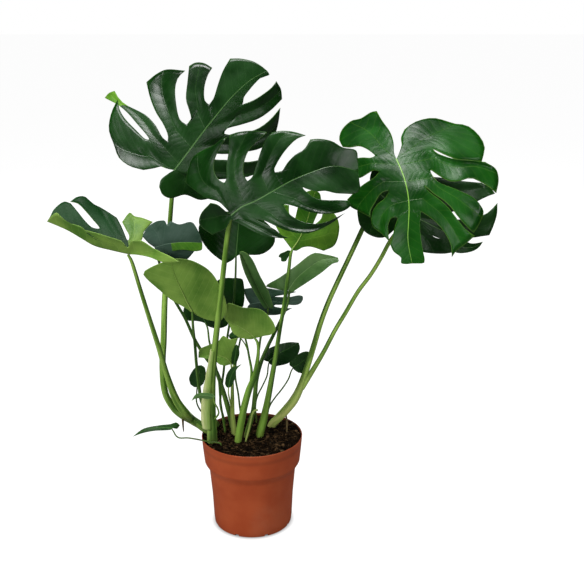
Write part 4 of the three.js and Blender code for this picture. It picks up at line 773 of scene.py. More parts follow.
# Draws the inner points of a grid together wherever a quad of it has turned over.
def settle(grid, side):
    rows, columns = len(grid) - 1, len(grid[0]) - 1
    rounds, limit = 12, -0.02
    for _ in range(rounds):
        for r in range(rows):
            for c in range(columns):
                if turned(side, grid[r][c], grid[r][c + 1], grid[r + 1][c + 1], grid[r + 1][c]) > limit:
                    continue
                for i, j in ((r, c), (r, c + 1), (r + 1, c + 1), (r + 1, c)):
                    if 0 < i < rows and 0 < j < columns:
                        upDown = lerp(grid[i - 1][j], grid[i + 1][j], 0.5)
                        leftRight = lerp(grid[i][j - 1], grid[i][j + 1], 0.5)
                        grid[i][j] = lerp(grid[i][j], lerp(upDown, leftRight, 0.5), 0.5)
    return grid


# The lobes of one side of a blade, each a grid of points in the picture plane, and whether it is the tip.
def bladeGrids(leaf, side):
    make = bladeMake
    lobes = []
    for *lines, end in leaf[side][:-1]:
        near, rim, far = ([flat3(p) for p in line] for line in lines)
        lobes.append({"near": near, "rim": rim, "far": far, "end": flat3(end)})
    tipNear, tipRim = ([flat3(p) for p in line] for line in leaf[side][-1])
    foot, tip = flat3(leaf["rib"][0]), flat3(leaf["rib"][-1])
    tipRim = [*tipRim, tip]
    n = len(lobes)
    counts = len(leaf["left"]) - 1, len(leaf["right"]) - 1
    shared = math.lcm(*counts) if n else 0
    cells = shared * make["perLobe"] // (2 if shared > 4 else 1)
    perLobe = cells // n if n else 0
    footCells = cells // max(counts) if max(counts) > 1 else 0
    reach = leaf.get("reach", 0)
    inner, outer = (make["inner"], make["outer"]) if n else (0, make["heartRows"])
    rows = inner + outer
    tipCells = make["tipCells"]

    def root(i):
        along = max(0, i - footCells) / (cells - footCells)
        return flat3(curveAt(leaf["rib"], reach * along ** make["lobeCrowd"]))

    def edge(start, mids, end, row, otherFirst):
        tau = (row / outer) ** make["gapEase"]
        points = [start, *mids, end]
        p = curveAt(points, tau)
        away = (points[1][0] - otherFirst[0], points[1][1] - otherFirst[1])
        m = math.hypot(*away) or 1
        k = make["gapRound"] * 3 * (math.sqrt(tau) - tau) * math.exp(-3 * tau)
        return [p[0] + away[0] / m * k, p[1] + away[1] / m * k, p[2]]

    def gapSide(i, end, mids, corner, otherFirst):
        line = [lerp(root(i), end, row / inner) for row in range(inner)]
        return line + [edge(end, mids, corner, row, otherFirst) for row in range(outer + 1)]

    def footSide(mids, corner):
        return [curveAt([foot, *mids, corner], row / rows) for row in range(rows + 1)]

    def rimOf(points, columns):
        return [curveAt(points, j / columns) for j in range(columns + 1)]

    def patch(near, far, base, rim, fade):
        columns = len(base) - 1
        grid = []
        for row in range(rows + 1):
            v = row / rows
            pull = [a - b for a, b in zip(near[row], lerp(near[0], near[-1], v))]
            push = [a - b for a, b in zip(far[row], lerp(far[0], far[-1], v))]
            line = []
            for j in range(columns + 1):
                u = j / columns
                w = (1 - u) ** fade
                line.append([x + w * a + u * b for x, a, b in zip(lerp(base[j], rim[j], v), pull, push)])
            grid.append(line)
        return settle(grid, side)

    firsts = [(lobe["near"] or lobe["rim"])[0] for lobe in lobes] + [(tipNear or tipRim)[0]]
    lasts = [(lobe["far"] or lobe["rim"])[-1] for lobe in lobes]
    grids = []
    for i, lobe in enumerate(lobes):
        c0, c1 = lobe["rim"][0], lobe["rim"][-1]
        if i == 0:
            near = footSide(lobe["near"], c0)
        else:
            near = gapSide(i * perLobe, lobes[i - 1]["end"], lobe["near"], c0, lasts[i - 1])
        far = gapSide((i + 1) * perLobe, lobe["end"], lobe["far"][::-1], c1, firsts[i + 1])
        base = [root(i * perLobe + j) for j in range(perLobe + 1)]
        grids.append((patch(near, far, base, rimOf(lobe["rim"], perLobe), 1), False))
    if n:
        near = gapSide(cells, lobes[-1]["end"], tipNear, tipRim[0], lasts[-1])
    else:
        near = footSide(tipNear, tipRim[0])
    shares = [reach + (1 - reach) * (j / tipCells) ** make["tipCrowd"] for j in range(tipCells + 1)]
    base = [flat3(curveAt(leaf["rib"], share)) for share in shares]
    grids.append((patch(near, [tip] * (rows + 1), base, rimOf(tipRim, tipCells), make["tipLocal"]), True))
    return grids


def makeBlade(name, leaf):
    top, under, face = leafDress[name]
    rib = Rib(leaf)
    seed = sum(ord(ch) for ch in name)
    size = rib.long
    make = bladeMake
    wave = make["wave"] * clamp(size / make["fullSize"], make["leastWave"], 1)
    veinGap = veinMake["gap"]
    if size <= veinMake["gapBelow"]:
        veinGap = clamp(size / veinMake["gapsAlong"], veinMake["leastGap"], veinGap)
    bm = bmesh.new()
    keys = ("ribDist", "ribShare", "sideDist", "fan", "edgeDist")
    layers = {key: bm.verts.layers.float.new(key) for key in keys}
    for side in ("left", "right"):
        for number, (grid, isTip) in enumerate(bladeGrids(leaf, side)):
            rows, columns = len(grid) - 1, len(grid[0]) - 1
            verts = bmesh.ops.create_grid(bm, x_segments=columns, y_segments=rows, size=1)["verts"]
            faces = list({f for vert in verts for f in vert.link_faces})
            paleSide, paleNumber, paleFrom = paleLobes.get(name, ("", 0, 0))
            if (paleSide, paleNumber) == (side, number):
                for cell in faces:
                    if (cell.calc_center_median().y + 1) / 2 >= paleFrom:
                        cell.material_index = 1
            widths = [math.dist(line[0], line[-1]) for line in grid]
            for vert in verts:
                c = round((vert.co.x + 1) / 2 * columns)
                r = round((vert.co.y + 1) / 2 * rows)
                u, v = c / columns, r / rows
                p = grid[r][c]
                q = 0.0 if r == 0 or (isTip and c == columns) else rib.distance(p)
                run = rib.run(p)
                pitch = make["wavePitch"]
                ripple = noise.noise(Vector((p[0] * pitch, p[1] * pitch, seed)))
                back = depthOf(leaf, rib, side, p, q) + wave * ripple * clamp(q / make["waveFrom"], 0, 1)
                if isTip:
                    sideDist = veinMake["far"]
                    fan = (run - veinMake["tipSlant"] * q - veinMake["tipBend"] * q * q) / veinGap
                else:
                    sideDist = abs(u - 0.5) * widths[r]
                    dip = make["trough"] * clamp(widths[r] / make["troughWidth"], *make["troughSpan"])
                    dip *= math.sin(math.pi * u) ** make["troughPower"] * min(1, v * make["troughRise"])
                    back += face * dip
                    middle = v * math.dist(grid[0][columns // 2], grid[-1][columns // 2])
                    fan = (middle - veinMake["lobeSlant"] * sideDist) / veinMake["lobeGap"]
                toRim = (1 - v) * math.dist(grid[0][c], grid[-1][c])
                toGap = (u if isTip else min(u, 1 - u)) * widths[r]
                if v <= veinMake["edgeFrom"] and len(leaf[side]) > 1:
                    toGap = veinMake["far"]
                vert.co = seen(p[0], p[1], back) * mm
                vert[layers["ribDist"]] = q / clamp(size / make["fullSize"], veinMake["leastRib"], 1)
                vert[layers["ribShare"]] = clamp(run / size, 0, 1)
                vert[layers["sideDist"]] = sideDist
                vert[layers["fan"]] = fan
                vert[layers["edgeDist"]] = min(toRim, toGap)
            if (side == "right") == (face == 1):
                bmesh.ops.reverse_faces(bm, faces=faces)
    bmesh.ops.remove_doubles(bm, verts=bm.verts, dist=make["merge"])
    bmesh.ops.dissolve_degenerate(bm, edges=bm.edges, dist=make["speck"])
    piece = finishPiece("blade_" + name, bm, [leafPaints[top], leafPaints[under]], [name])
    shell = thicken(piece, make["thickness"] * (make["thinShare"] if size < make["thinBelow"] else 1))
    shell.material_offset = 1
    shell.material_offset_rim = 1


for leafName, leafSpec in leaves.items():
    makeBlade(leafName, leafSpec)
print("blades are laid")

# The soil plug: its size, its wall profile, its lumps (pitch, layer, height) and its paint.
soilMake = {
    "edge": 156.5, "crown": 159.5, "radius": 82.3, "depth": 13.0, "rings": 44, "sides": 128, "flat": 160,
    "wall": [(0, 6), (62, 6), (64, 13), (66.4, 54), (70.1, 99), (78.1, 117), (82.3, 155)],
    "lumps": [(0.05, 3, 2.0), (0.16, 8, 1.3), (0.5, 5, 0.8)], "mottle": (90.0, 1400.0),
    "tones": ((0.002, 0.0013, 0.0008), (0.009, 0.005, 0.0025)), "bits": (0.58, 0.70), "bitShare": 0.3,
    "bitTone": (0.040, 0.023, 0.011), "rough": (0, 1, 0.65, 0.9), "gloss": 0.06, "bump": (0.9, 0.0012),
}


# A stalk's way into the soil, through a point on its surface and on to its end in the plug.
def enter(x, y):
    above, inward = 4, 0.985
    return [Vector((x, y, soilMake["edge"] + above)),
            Vector((x * inward, y * inward, soilMake["edge"] - soilMake["depth"]))]


def way(points, *world):
    return [seen(*p) for p in points] + [Vector(p) for p in world]


# The point where a stalk meets its leaf, off the midrib by a distance in mm down or back.
def offBlade(name, down, back, away):
    leaf = leaves[name]
    along, mostShare = 3, 0.15
    x, y, deep = ribPoint(leaf, min(mostShare, along / chordsOf(leaf["rib"])[-1]))
    return seen(x, y - down * away, deep + back * away)


# The stalks, by the crown they grow from: the finish, and for each the leaf it carries with the side it
# meets it from, the path as seen in the picture and then in the room, and the radius at each point.
stalks = {
    "stem_left": {"look": "stalk", "tubes": [
        {"seat": ("leaf_left", 1, 0), "radii": [2, 2.6, 3, 3.2, 3.6, 4.2, 5, 6.5, 7, 7, 7, 7, 7, 7],
         "path": way([[-212, 447, -57], [-207, 433, -54], [-197, 400, -46], [-182, 352, -34],
                     [-164, 296, -20], [-149, 245, -9], [-133, 203, -3], [-118, 182, 0]],
                     level(-106, 170, 173), level(-93, 161, 169.5), [-78, 4, 167], *enter(-66, 6))},
        {"seat": ("leaf_top_left", 0, 1),
         "radii": [2, 3, 3.6, 3.8, 4.2, 4.8, 5.2, 5.2, 5.4, 6, 6.3, 6.5, 6.5],
         "path": way([[-138, 590, 47], [-140, 566, 50], [-144, 515, 47], [-148, 450, 40], [-153, 380, 30],
                     [-155, 310, 16], [-157, 258, 7], [-152, 215, 2], [-137, 189, 2], [-124, 178, 2]],
                     level(-108, 169, 172.5), level(-94, 161, 169.5))},
        {"woody": True, "radii": [2, 1.6, 0.8],
         "path": way([[-122, 171, 0], [-121.5, 160, 0], [-120.5, 149, 0]])},
    ]},
    "stem_front": {"look": "stalk", "tubes": [
        {"seat": ("leaf_front", 0, 1), "radii": [2, 3.4, 4, 4, 4.2, 4.6, 5, 5.8, 6.4, 7.4, 8.6, 8.6],
         "path": way([[-40, 513, -90], [-44, 490, -86], [-50, 442, -76], [-56, 386, -64], [-62, 335, -54],
                     [-67, 290, -46], [-71, 240, -36], [-72, 205, -31], [-72, 172, -27]],
                     *enter(-65, -24))},
        {"seat": ("leaf_across", 0, 1), "radii": [1, 1.2, 1.3, 1.4, 1.6],
         "path": way([[-67, 199, -61], [-62, 190, -53], [-60, 180, -42], [-68, 169, -29]])},
    ]},
    "stem_under_left": {"look": "stalkDark", "tubes": [
        {"seat": ("leaf_under_left", 0, -1), "radii": [1.6, 2, 2.2, 2.4, 2.6, 2.8, 3, 3.2, 3.2],
         "path": way([[-105, 345, -47], [-104, 328, -40], [-101, 300, -22], [-98, 262, 2], [-94, 228, 10],
                     [-88, 198, 20]], *enter(-60, 34))},
    ]},
    "stem_middle": {"look": "stalkMid", "tubes": [
        {"seat": ("leaf_under_middle", 0, -1), "radii": [1.6, 2.2, 2.6, 3.2, 4.4, 5.4, 5.8, 6, 6, 6],
         "path": way([[7, 304, -23], [9, 290, -24], [7, 270, -25], [2, 245, -26], [-7, 222, -27],
                     [-14, 198, -28], [-19, 175, -29]], *enter(-22, -28))},
        {"seat": ("leaf_folded", 0, 1), "radii": [1.2, 1.6, 1.7, 1.8, 2, 2.4, 2.6],
         "path": way([[25, 352, 8], [18, 330, 4], [13, 312, 0], [10, 292, -6], [5, 262, -18],
                     [-1, 240, -25]])},
        {"seat": ("leaf_rear_dark", 0, 1), "radii": [1.2, 1.5, 1.6, 1.7, 1.9, 2.2, 2.4],
         "path": way([[-28, 350, 28], [-18, 325, 14], [-11, 300, 0], [-7, 278, -12], [-3, 255, -22],
                     [-4, 235, -26]])},
        {"seat": ("leaf_low_middle", 0, 1), "radii": [0.9, 1, 1.1, 1.2],
         "path": way([[-18, 306, 0], [-13, 298, -1], [-9, 288, -6]])},
    ]},
    "stem_behind_front": {"look": "stalkDark", "tubes": [
        {"seat": ("leaf_behind_front", 0, 1), "radii": [1.2, 1.6, 1.7, 1.8, 1.9, 1.9, 2, 2.1, 2.1, 2.2, 2.2],
         "path": way([[-30, 442, -9], [-31, 410, -2], [-34, 372, 4], [-42, 330, 10], [-48, 290, 22],
                     [-51, 255, 30], [-55, 225, 34], [-57, 198, 39]], *enter(-50, 47))},
    ]},
    "stem_left_rear": {"look": "stalkDark", "tubes": [
        {"seat": ("leaf_left_rear", 0, 1), "radii": [1.6, 2, 2.2, 2.3, 2.4, 2.7, 3, 3.4, 3.8, 4.4, 4.8, 4.8],
         "path": way([[-167, 456, -38], [-155, 420, -22], [-138, 380, -8], [-118, 345, 4], [-101, 308, 12],
                     [-84, 280, 16], [-65, 255, 19], [-54, 225, 22], [-45, 195, 25]], *enter(-34, 26))},
    ]},
    "stem_pale": {"look": "stalkPale", "tubes": [
        {"seat": ("leaf_new", 1, 0), "radii": [1.6, 2, 2.4, 3.2, 4.2, 5.2, 5.2],
         "path": way([[-35, 253, -19], [-36, 235, -14], [-36, 205, -8], [-36, 175, -3]], *enter(-30, 0))},
        {"seat": ("leaf_under_low", 0, -1), "radii": [1.3, 1.6, 2],
         "path": way([[-37, 256, -16], [-36.5, 240, -15]])},
        {"seat": ("leaf_narrow", 0, 1), "radii": [0.9, 1.1, 1.3, 1.5],
         "path": way([[-43, 217, -21], [-41, 205, -15], [-37, 188, -7]])},
    ]},
    "stem_middle_right": {"look": "stalkDark", "tubes": [
        {"seat": ("leaf_middle_right", 0, 1),
         "radii": [1.5, 2, 2.3, 2.5, 2.7, 3, 3.3, 3.5, 3.8, 4, 4.2, 4.2],
         "path": way([[62, 386, 18], [58, 366, 14], [49, 345, 9], [38, 322, 5], [26, 298, 2], [14, 270, -2],
                     [6, 240, -6], [3, 212, -9], [0, 185, -11]], *enter(-9, -10))},
    ]},
    "stem_under_right": {"look": "stalkMid", "tubes": [
        {"seat": ("leaf_under_right", 0, -1),
         "radii": [1.6, 2.4, 2.8, 3, 3.2, 3.4, 3.8, 4.6, 5.4, 6.4, 6.8, 6.8],
         "path": way([[65, 456, -15], [62, 432, -13], [58, 400, -12], [53, 365, -12], [46, 325, -11],
                     [39, 280, -10], [31, 235, -9], [24, 198, -8], [18, 170, -8]], *enter(13, -8))},
    ]},
    "stem_right": {"look": "stalkCream", "tubes": [
        {"seat": ("leaf_right_rear", 0, 1),
         "radii": [2, 3, 3.6, 4, 4, 4.1, 4.2, 4.4, 4.8, 5.2, 6.6, 7.6, 7.6, 7.2, 7, 7],
         "path": way([[211, 552, 73], [200, 525, 72], [187, 495, 62], [165, 448, 48], [147, 410, 40],
                     [131, 375, 34], [117, 338, 30], [105, 298, 27], [91, 253, 25], [80, 222, 24],
                     [70, 203, 24], [58, 188, 25], [44, 173, 27]], *enter(32, 29))},
        {"seat": ("leaf_right", 0, 1),
         "radii": [2, 2.8, 3.2, 3.3, 3.3, 3.3, 3.3, 3.3, 3.4, 3.5, 3.6, 3.8, 4.4, 4.8],
         "path": way([[252, 608, 15], [262, 575, 11], [266, 545, 7], [258, 510, 6], [236, 477, 12],
                     [221, 449, 16], [203, 420, 20], [182, 392, 22], [160, 355, 23], [142, 325, 24],
                     [122, 287, 24], [100, 250, 24], [84, 224, 24]])},
        {"woody": True, "radii": [1.6, 1.6, 1.4, 1.2],
         "path": way([[56, 182, 25], [58, 168, 20]], [58.5, 12, 159.5], [59, 10, 150.5])},
    ]},
    "stem_rear_slit": {"look": "stalkDark", "tubes": [
        {"seat": ("leaf_rear_slit", 0, 1), "radii": [1.2, 1.5, 1.6, 1.6, 1.6, 1.6, 1.6, 1.7, 1.8, 1.8],
         "path": way([[-10, 360, 43], [-18, 330, 38], [-23, 305, 32], [-29, 275, 26], [-31, 245, 24],
                     [-26, 215, 26], [-23, 190, 30]], *enter(-18, 36))},
    ]},
    "stem_behind_left": {"look": "stalkDark", "tubes": [
        {"seat": ("leaf_behind_left", 0, 1), "radii": [1.2, 1.5, 1.7, 1.8, 1.8, 1.8, 1.9, 2, 2],
         "path": way([[-79, 328, 9], [-76, 305, 6], [-68, 275, 6], [-60, 240, 6], [-57, 205, 7],
                     [-54, 182, 9]], *enter(-46, 12))},
    ]},
    "stem_low_right": {"look": "stalkDark", "tubes": [
        {"seat": ("leaf_low_right", 0, 1), "radii": [1, 1.2, 1.3, 1.3, 1.3, 1.4, 1.5, 1.5],
         "path": way([[26, 262, 23], [24, 246, 24], [16, 228, 28], [8, 212, 32], [4, 195, 36]],
                     *enter(6, 42))},
    ]},
    "stem_low_right_rear": {"look": "stalkDark", "tubes": [
        {"seat": ("leaf_low_right_rear", 0, 1), "radii": [1, 1.2, 1.3, 1.3, 1.3, 1.4, 1.5, 1.5],
         "path": way([[66, 254, 50], [61, 240, 48], [50, 223, 49], [38, 208, 50], [29, 194, 51]],
                     *enter(22, 54))},
    ]},
    "stem_round_left": {"look": "stalkDark", "tubes": [
        {"seat": ("leaf_round_left", 0, 1), "radii": [1, 1.2, 1.3, 1.4, 1.4, 1.5, 1.5],
         "path": way([[-98, 216, 25], [-98, 200, 27], [-93, 188, 31], [-86, 180, 35]], *enter(-68, 42))},
    ]},
    "stem_trailing": {"look": "stalkDark", "tubes": [
        {"seat": ("leaf_trailing", 0, 1), "radii": [0.9, 1.1, 1.2, 1.2, 1.2, 1.2, 1.2, 1.2, 1.2, 1.2, 1.2],
         "path": way([[-138, 149, -40.5], [-134, 142, -40], [-128, 138, -38], [-114, 138, -36],
                     [-100, 136, -36]], level(-87, 133.5, 162.6), level(-74, 131, 163.4),
                     level(-62, 130, 162), *enter(-50, -38))},
    ]},
    "stem_curl": {"look": "stalkPale", "tubes": [
        {"radii": [1.6, 1.8, 1.8, 1.7, 1.6, 1.6, 1.6],
         "path": way([[8, 186, -22], [3, 186, -23], [-2, 179, -24], [-5, 166, -24], [-8, 152, -25]],
                     *enter(-9, -27))},
    ]},
}

# Stalk finishes: colour low and high up the stalk, a pale streak colour that also serves as the painted
# highlight on the lit flank, roughness, and sun, the lit flank: 1 the left, -1 the right.
stalkLooks = {
    "stalk": {"low": (0.030, 0.085, 0.012), "high": (0.075, 0.170, 0.016),
              "streak": (0.25, 0.40, 0.075), "rough": 0.40, "sun": 1},
    "stalkMid": {"low": (0.110, 0.21, 0.025), "high": (0.032, 0.090, 0.010),
                 "streak": (0.17, 0.31, 0.045), "rough": 0.40, "sun": 1},
    "stalkCream": {"low": (0.58, 0.64, 0.20), "high": (0.060, 0.140, 0.014),
                   "streak": (0.28, 0.43, 0.08), "rough": 0.42, "sun": -1},
    "stalkDark": {"low": (0.045, 0.095, 0.015), "high": (0.018, 0.058, 0.008),
                  "streak": (0.09, 0.18, 0.03), "rough": 0.42, "sun": 1},
    "stalkPale": {"low": (0.34, 0.44, 0.10), "high": (0.13, 0.25, 0.03),
                  "streak": (0.34, 0.44, 0.12), "rough": 0.42, "sun": 1},
}
# What all stalk finishes share; sunny and shady are the painted highlight and painted shade across the
# flanks, and shade is the painted shade colour, laid on more strongly higher up the stalk.
stalkMake = {
    "streak": (0.9, 0.6), "streakRamp": (0.38, 0.62), "streakShare": 0.7, "patch": 30.0, "grain": 650.0,
    "climb": (0.15, 0.30), "sunny": (-0.9, 0.0, 0.45, 0.0), "shady": (0.1, 0.9, 0.0, 0.8),
    "shadeByHeight": (0.17, 0.30, 0.25, 1.0), "shade": (0.018, 0.058, 0.007), "scar": (0.60, 0.72),
    "scarShare": 0.1, "scarTone": (0.09, 0.10, 0.03), "foot": (0.158, 0.182, 0.45, 0.0),
    "footTone": (0.10, 0.055, 0.025),
    "gloss": 0.3, "bump": (0.2, 0.0003), "sides": 14, "step": 3.0, "mostSteps": 150, "alongScale": 0.02,
    "seatShare": 0.7,
}


def stalkMaterial(name, look):
    make = stalkMake
    material, tree, shader, place = newMaterial(name)
    sideways, up = attributeOf(tree, "ringX"), addNode(tree, "SeparateXYZ", {0: place}).outputs["Z"]
    ring = {"X": sideways, "Y": attributeOf(tree, "ringY"), "Z": attributeOf(tree, "along")}
    lengthwise = addNode(tree, "CombineXYZ", ring).outputs[0]
    streaks = rampOf(tree, noiseOf(tree, lengthwise, *make["streak"]), *make["streakRamp"])
    patches, grain = mottleOf(tree, place, make["patch"], make["grain"])
    # Painted light: one flank of the stalk is lightened toward the pale streak colour as a painted
    # highlight, and the other is darkened as painted shade, less so low down; sun picks which flank is lit.
    flank = timesOf(tree, sideways, look["sun"])
    colour = mixColour(tree, rampOf(tree, up, *make["climb"]), look["low"], look["high"])
    colour = tint(tree, colour, streaks, make["streakShare"], look["streak"])
    colour = mixColour(tree, rampOf(tree, flank, *make["sunny"]), colour, look["streak"])
    shady = rampOf(tree, flank, *make["shady"])
    colour = tint(tree, colour, shady, rampOf(tree, up, *make["shadeByHeight"]), make["shade"])
    colour = tint(tree, colour, rampOf(tree, grain, *make["scar"]), make["scarShare"], make["scarTone"])
    colour = tint(tree, colour, rampOf(tree, up, *make["foot"]), patches, make["footTone"])
    rough = rampOf(tree, patches, 0, 1, look["rough"] - 0.07, look["rough"] + 0.1)
    coat(tree, shader, colour, rough, make["gloss"], streaks, make["bump"])
    return material


barkMake = {"mottle": (120.0, 900.0), "rough": (0.3, 0.7, 0.6, 0.85), "gloss": 0.1, "bump": (0.5, 0.0004)}


def barkMaterial(name, dark, light):
    material, tree, shader, place = newMaterial(name)
    patches, grain = mottleOf(tree, place, *barkMake["mottle"])
    colour, rough = mixColour(tree, patches, dark, light), rampOf(tree, grain, *barkMake["rough"])
    coat(tree, shader, colour, rough, barkMake["gloss"], grain, barkMake["bump"])
    return material


stalkPaints = {name: stalkMaterial(name + "Skin", look) for name, look in stalkLooks.items()}
rootPaint = barkMaterial("rootBark", (0.030, 0.020, 0.010), (0.110, 0.080, 0.035))


# A round tapered run along a path in mm, closed at both ends, bent from a grid.
def addRun(bm, path, radii, sides=stalkMake["sides"], stepLength=stalkMake["step"]):
    reach = chordsOf(path)
    steps = int(clamp(reach[-1] / stepLength, len(path) * 2, stalkMake["mostSteps"]))
    keys = ("ringX", "ringY", "along")
    layers = [bm.verts.layers.float.get(key) or bm.verts.layers.float.new(key) for key in keys]
    grid = bmesh.ops.create_grid(bm, x_segments=sides, y_segments=steps + 2, size=1)["verts"]
    line = [Vector(curveAt(path, i / steps)) for i in range(steps + 1)]
    frames = []
    guide = Vector((1, 0, 0))
    for i in range(steps + 1):
        ahead = (line[min(steps, i + 1)] - line[max(0, i - 1)]).normalized()
        guide = (guide - ahead * guide.dot(ahead)).normalized()
        frames.append((guide, ahead.cross(guide)))
    for vert in grid:
        c = round((vert.co.x + 1) / 2 * sides) % sides
        r = round((vert.co.y + 1) / 2 * (steps + 2)) - 1
        i = int(clamp(r, 0, steps))
        x = i / steps * reach[-1]
        k, t = spanAt(reach, x)
        radius = radii[k] + (radii[k + 1] - radii[k]) * t if 0 <= r <= steps else 0.0
        turn = 2 * math.pi * c / sides
        one, two = frames[i]
        vert.co = (line[i] + (one * math.cos(turn) + two * math.sin(turn)) * radius) * mm
        for layer, value in zip(layers, (math.cos(turn), math.sin(turn), x * stalkMake["alongScale"])):
            vert[layer] = value
    bmesh.ops.remove_doubles(bm, verts=grid, dist=1e-6)


# A tube's whole path, from its seat on the leaf down.
def tubePath(tube):
    if "seat" not in tube:
        return tube["path"]
    return [offBlade(*tube["seat"], tube["radii"][0] * stalkMake["seatShare"]), *tube["path"]]


for stemName, stem in stalks.items():
    bm = bmesh.new()
    for tube in stem["tubes"]:
        before = set(bm.faces)
        addRun(bm, tubePath(tube), tube["radii"])
        for face in set(bm.faces) - before:
            face.material_index = 1 if "woody" in tube else 0
    bmesh.ops.recalc_face_normals(bm, faces=bm.faces)
    finishPiece("skin_" + stemName, bm, [stalkPaints[stem["look"]], rootPaint], [stemName])
print("stalks are grown")

# Raised ribs under the blades that turn their underside to the front, by their radius at the foot.
ribMake = {"leaf_under_left": 1.3, "leaf_under_middle": 0.9, "leaf_under_low": 0.8, "leaf_under_right": 1.1}


def makeRibs():
    bm = bmesh.new()
    count, sides, longShare, taper = 12, 8, 0.96, 0.8
    clear, sunk = 0.35, 0.2
    for name, radius in ribMake.items():
        points = []
        for i in range(count + 1):
            x, y, deep = ribPoint(leaves[name], i / count * longShare)
            points.append(seen(x, y, deep - clear - sunk * radius))
        addRun(bm, points, [radius * (1 - taper * i / count) for i in range(count + 1)], sides)
    bmesh.ops.recalc_face_normals(bm, faces=bm.faces)
    finishPiece("raised_ribs", bm, [stalkPaints["stalkPale"]])


makeRibs()

# The sheath's rows are the share along the front stalk's path and how far it flares there to the left.
sheathMake = {
    "rows": [[0.56, 0], [0.62, 1.5], [0.68, 4], [0.74, 7], [0.8, 9], [0.86, 8.4], [0.905, 6]],
    "from": 70, "to": 262, "gap": 1.2, "thickness": 0.8, "grid": (48, 26), "seatAway": 2.5, "fold": 0.5,
    "stretch": (1, 1, 0.04), "fibres": (330.0, 1100.0), "dry": (0.46, 0.50, 0.20),
    "cream": (0.68, 0.68, 0.38), "patches": (45.0, 700.0), "greenShare": 0.35, "green": (0.24, 0.36, 0.07),
    "front": (0.62, 0.97, 0.0, 0.9), "deepGreen": (0.13, 0.25, 0.03), "rough": (0.3, 0.7, 0.55, 0.75),
    "gloss": 0.5, "bump": (0.5, 0.0004),
}


def sheathMaterial():
    make = sheathMake
    material, tree, shader, place = newMaterial("drySheath")
    along = addNode(tree, "Mapping", {"Vector": place, "Scale": make["stretch"]}).outputs[0]
    fibres, grain = mottleOf(tree, along, *make["fibres"])
    patches = mottleOf(tree, place, *make["patches"])[0]
    front = rampOf(tree, attributeOf(tree, "around"), *make["front"])
    colour = mixColour(tree, fibres, make["dry"], make["cream"])
    colour = tint(tree, colour, patches, make["greenShare"], make["green"])
    colour = mixColour(tree, front, colour, make["deepGreen"])
    coat(tree, shader, colour, rampOf(tree, grain, *make["rough"]), make["gloss"], fibres, make["bump"])
    return material


def makeSheath():
    make = sheathMake
    stem = stalks["stem_front"]["tubes"][0]
    path = [offBlade("leaf_front", 0, 1, make["seatAway"]), *stem["path"]]
    reach = chordsOf(path)
    shares = [row[0] for row in make["rows"]]
    rows, columns = make["grid"]
    bm = bmesh.new()
    around = bm.verts.layers.float.new("around")
    grid = bmesh.ops.create_grid(bm, x_segments=columns, y_segments=rows, size=1)["verts"]
    for vert in grid:
        c, r = (vert.co.x + 1) / 2, (vert.co.y + 1) / 2
        share = shares[0] + (shares[-1] - shares[0]) * r
        k, t = spanAt(shares, share)
        flare = make["rows"][k][1] + (make["rows"][k + 1][1] - make["rows"][k][1]) * t * t * (3 - 2 * t)
        turn = math.radians(make["from"] + (make["to"] - make["from"]) * c)
        left = max(0, -math.cos(turn))
        fold = make["fold"] * math.sin(turn * 7 + r * 3) * left
        k, t = spanAt(reach, share * reach[-1])
        stalkRadius = stem["radii"][k] + (stem["radii"][k + 1] - stem["radii"][k]) * t
        radius = stalkRadius + make["gap"] + flare * left + fold
        vert[around] = c
        vert.co = (Vector(curveAt(path, share)) + Vector((math.cos(turn), math.sin(turn), 0)) * radius) * mm
    bmesh.ops.reverse_faces(bm, faces=bm.faces)
    thicken(finishPiece("dry_sheath", bm, [sheathMaterial()], ["sheath"]), make["thickness"])


makeSheath()
print("sheath is wrapped")

potMake = {
    "outside": [(62.5, 0), (64.6, 0.9), (65.6, 3), (66.7, 13), (68.6, 54), (72.4, 97), (72.9, 101),
                (73.4, 103.5), (79.6, 114), (80.3, 115.6), (80.5, 117.5), (82.6, 138), (84.2, 157),
                (84.4, 158.6), (84.1, 159.7), (83.6, 160)],
    "inside": [(83.2, 159.7), (82.9, 159), (81.0, 138), (78.8, 117), (71.4, 103.6), (70.8, 99), (67.0, 54),
               (65.1, 13), (62.8, 5)],
    "under": [(30, 0), (31.5, 2), (52.5, 2), (54, 0)],
    "floor": 5, "sides": 144, "slots": 8, "slotSize": (14, 7, 5), "slotAt": 63.5, "slotSunk": 0.5,
    "crease": 32, "mottle": (26.0, 900.0), "tones": ((0.315, 0.054, 0.016), (0.36, 0.070, 0.022)),
    "smudge": (9.0, 5.0, 0.6), "dusty": (0.52, 0.72), "dustShare": 0.16, "dust": (0.36, 0.17, 0.10),
    "lip": (0.150, 0.160), "lipShare": 0.2, "lipTone": (0.12, 0.045, 0.025), "above": (0.140, 0.150),
    "within": (0.0826, 0.0838, 0.85, 0.0), "paintedInnerShade": (0.05, 0.018, 0.009), "rough": (0.3, 0.7, 0.42, 0.56),
    "gloss": 0.3, "bump": (0.2, 0.00025),
}


def potMaterial():
    make = potMake
    material, tree, shader, place = newMaterial("terracottaPlastic")
    patches, grain = mottleOf(tree, place, *make["mottle"])
    smudge = noiseOf(tree, place, *make["smudge"])
    up = addNode(tree, "SeparateXYZ", {0: place}).outputs["Z"]
    flat = addNode(tree, "VectorMath", {0: place, 1: (1, 1, 0)}, operation="MULTIPLY").outputs[0]
    out = addNode(tree, "VectorMath", {0: flat}, operation="LENGTH").outputs["Value"]
    colour = mixColour(tree, patches, *make["tones"])
    colour = tint(tree, colour, rampOf(tree, smudge, *make["dusty"]), make["dustShare"], make["dust"])
    colour = tint(tree, colour, rampOf(tree, up, *make["lip"]), make["lipShare"], make["lipTone"])
    # Painted shade: the inside of the wall near the top is darkened to a deep brown.
    within = rampOf(tree, out, *make["within"])
    colour = tint(tree, colour, within, rampOf(tree, up, *make["above"]), make["paintedInnerShade"])
    coat(tree, shader, colour, rampOf(tree, smudge, *make["rough"]), make["gloss"], grain, make["bump"])
    return material


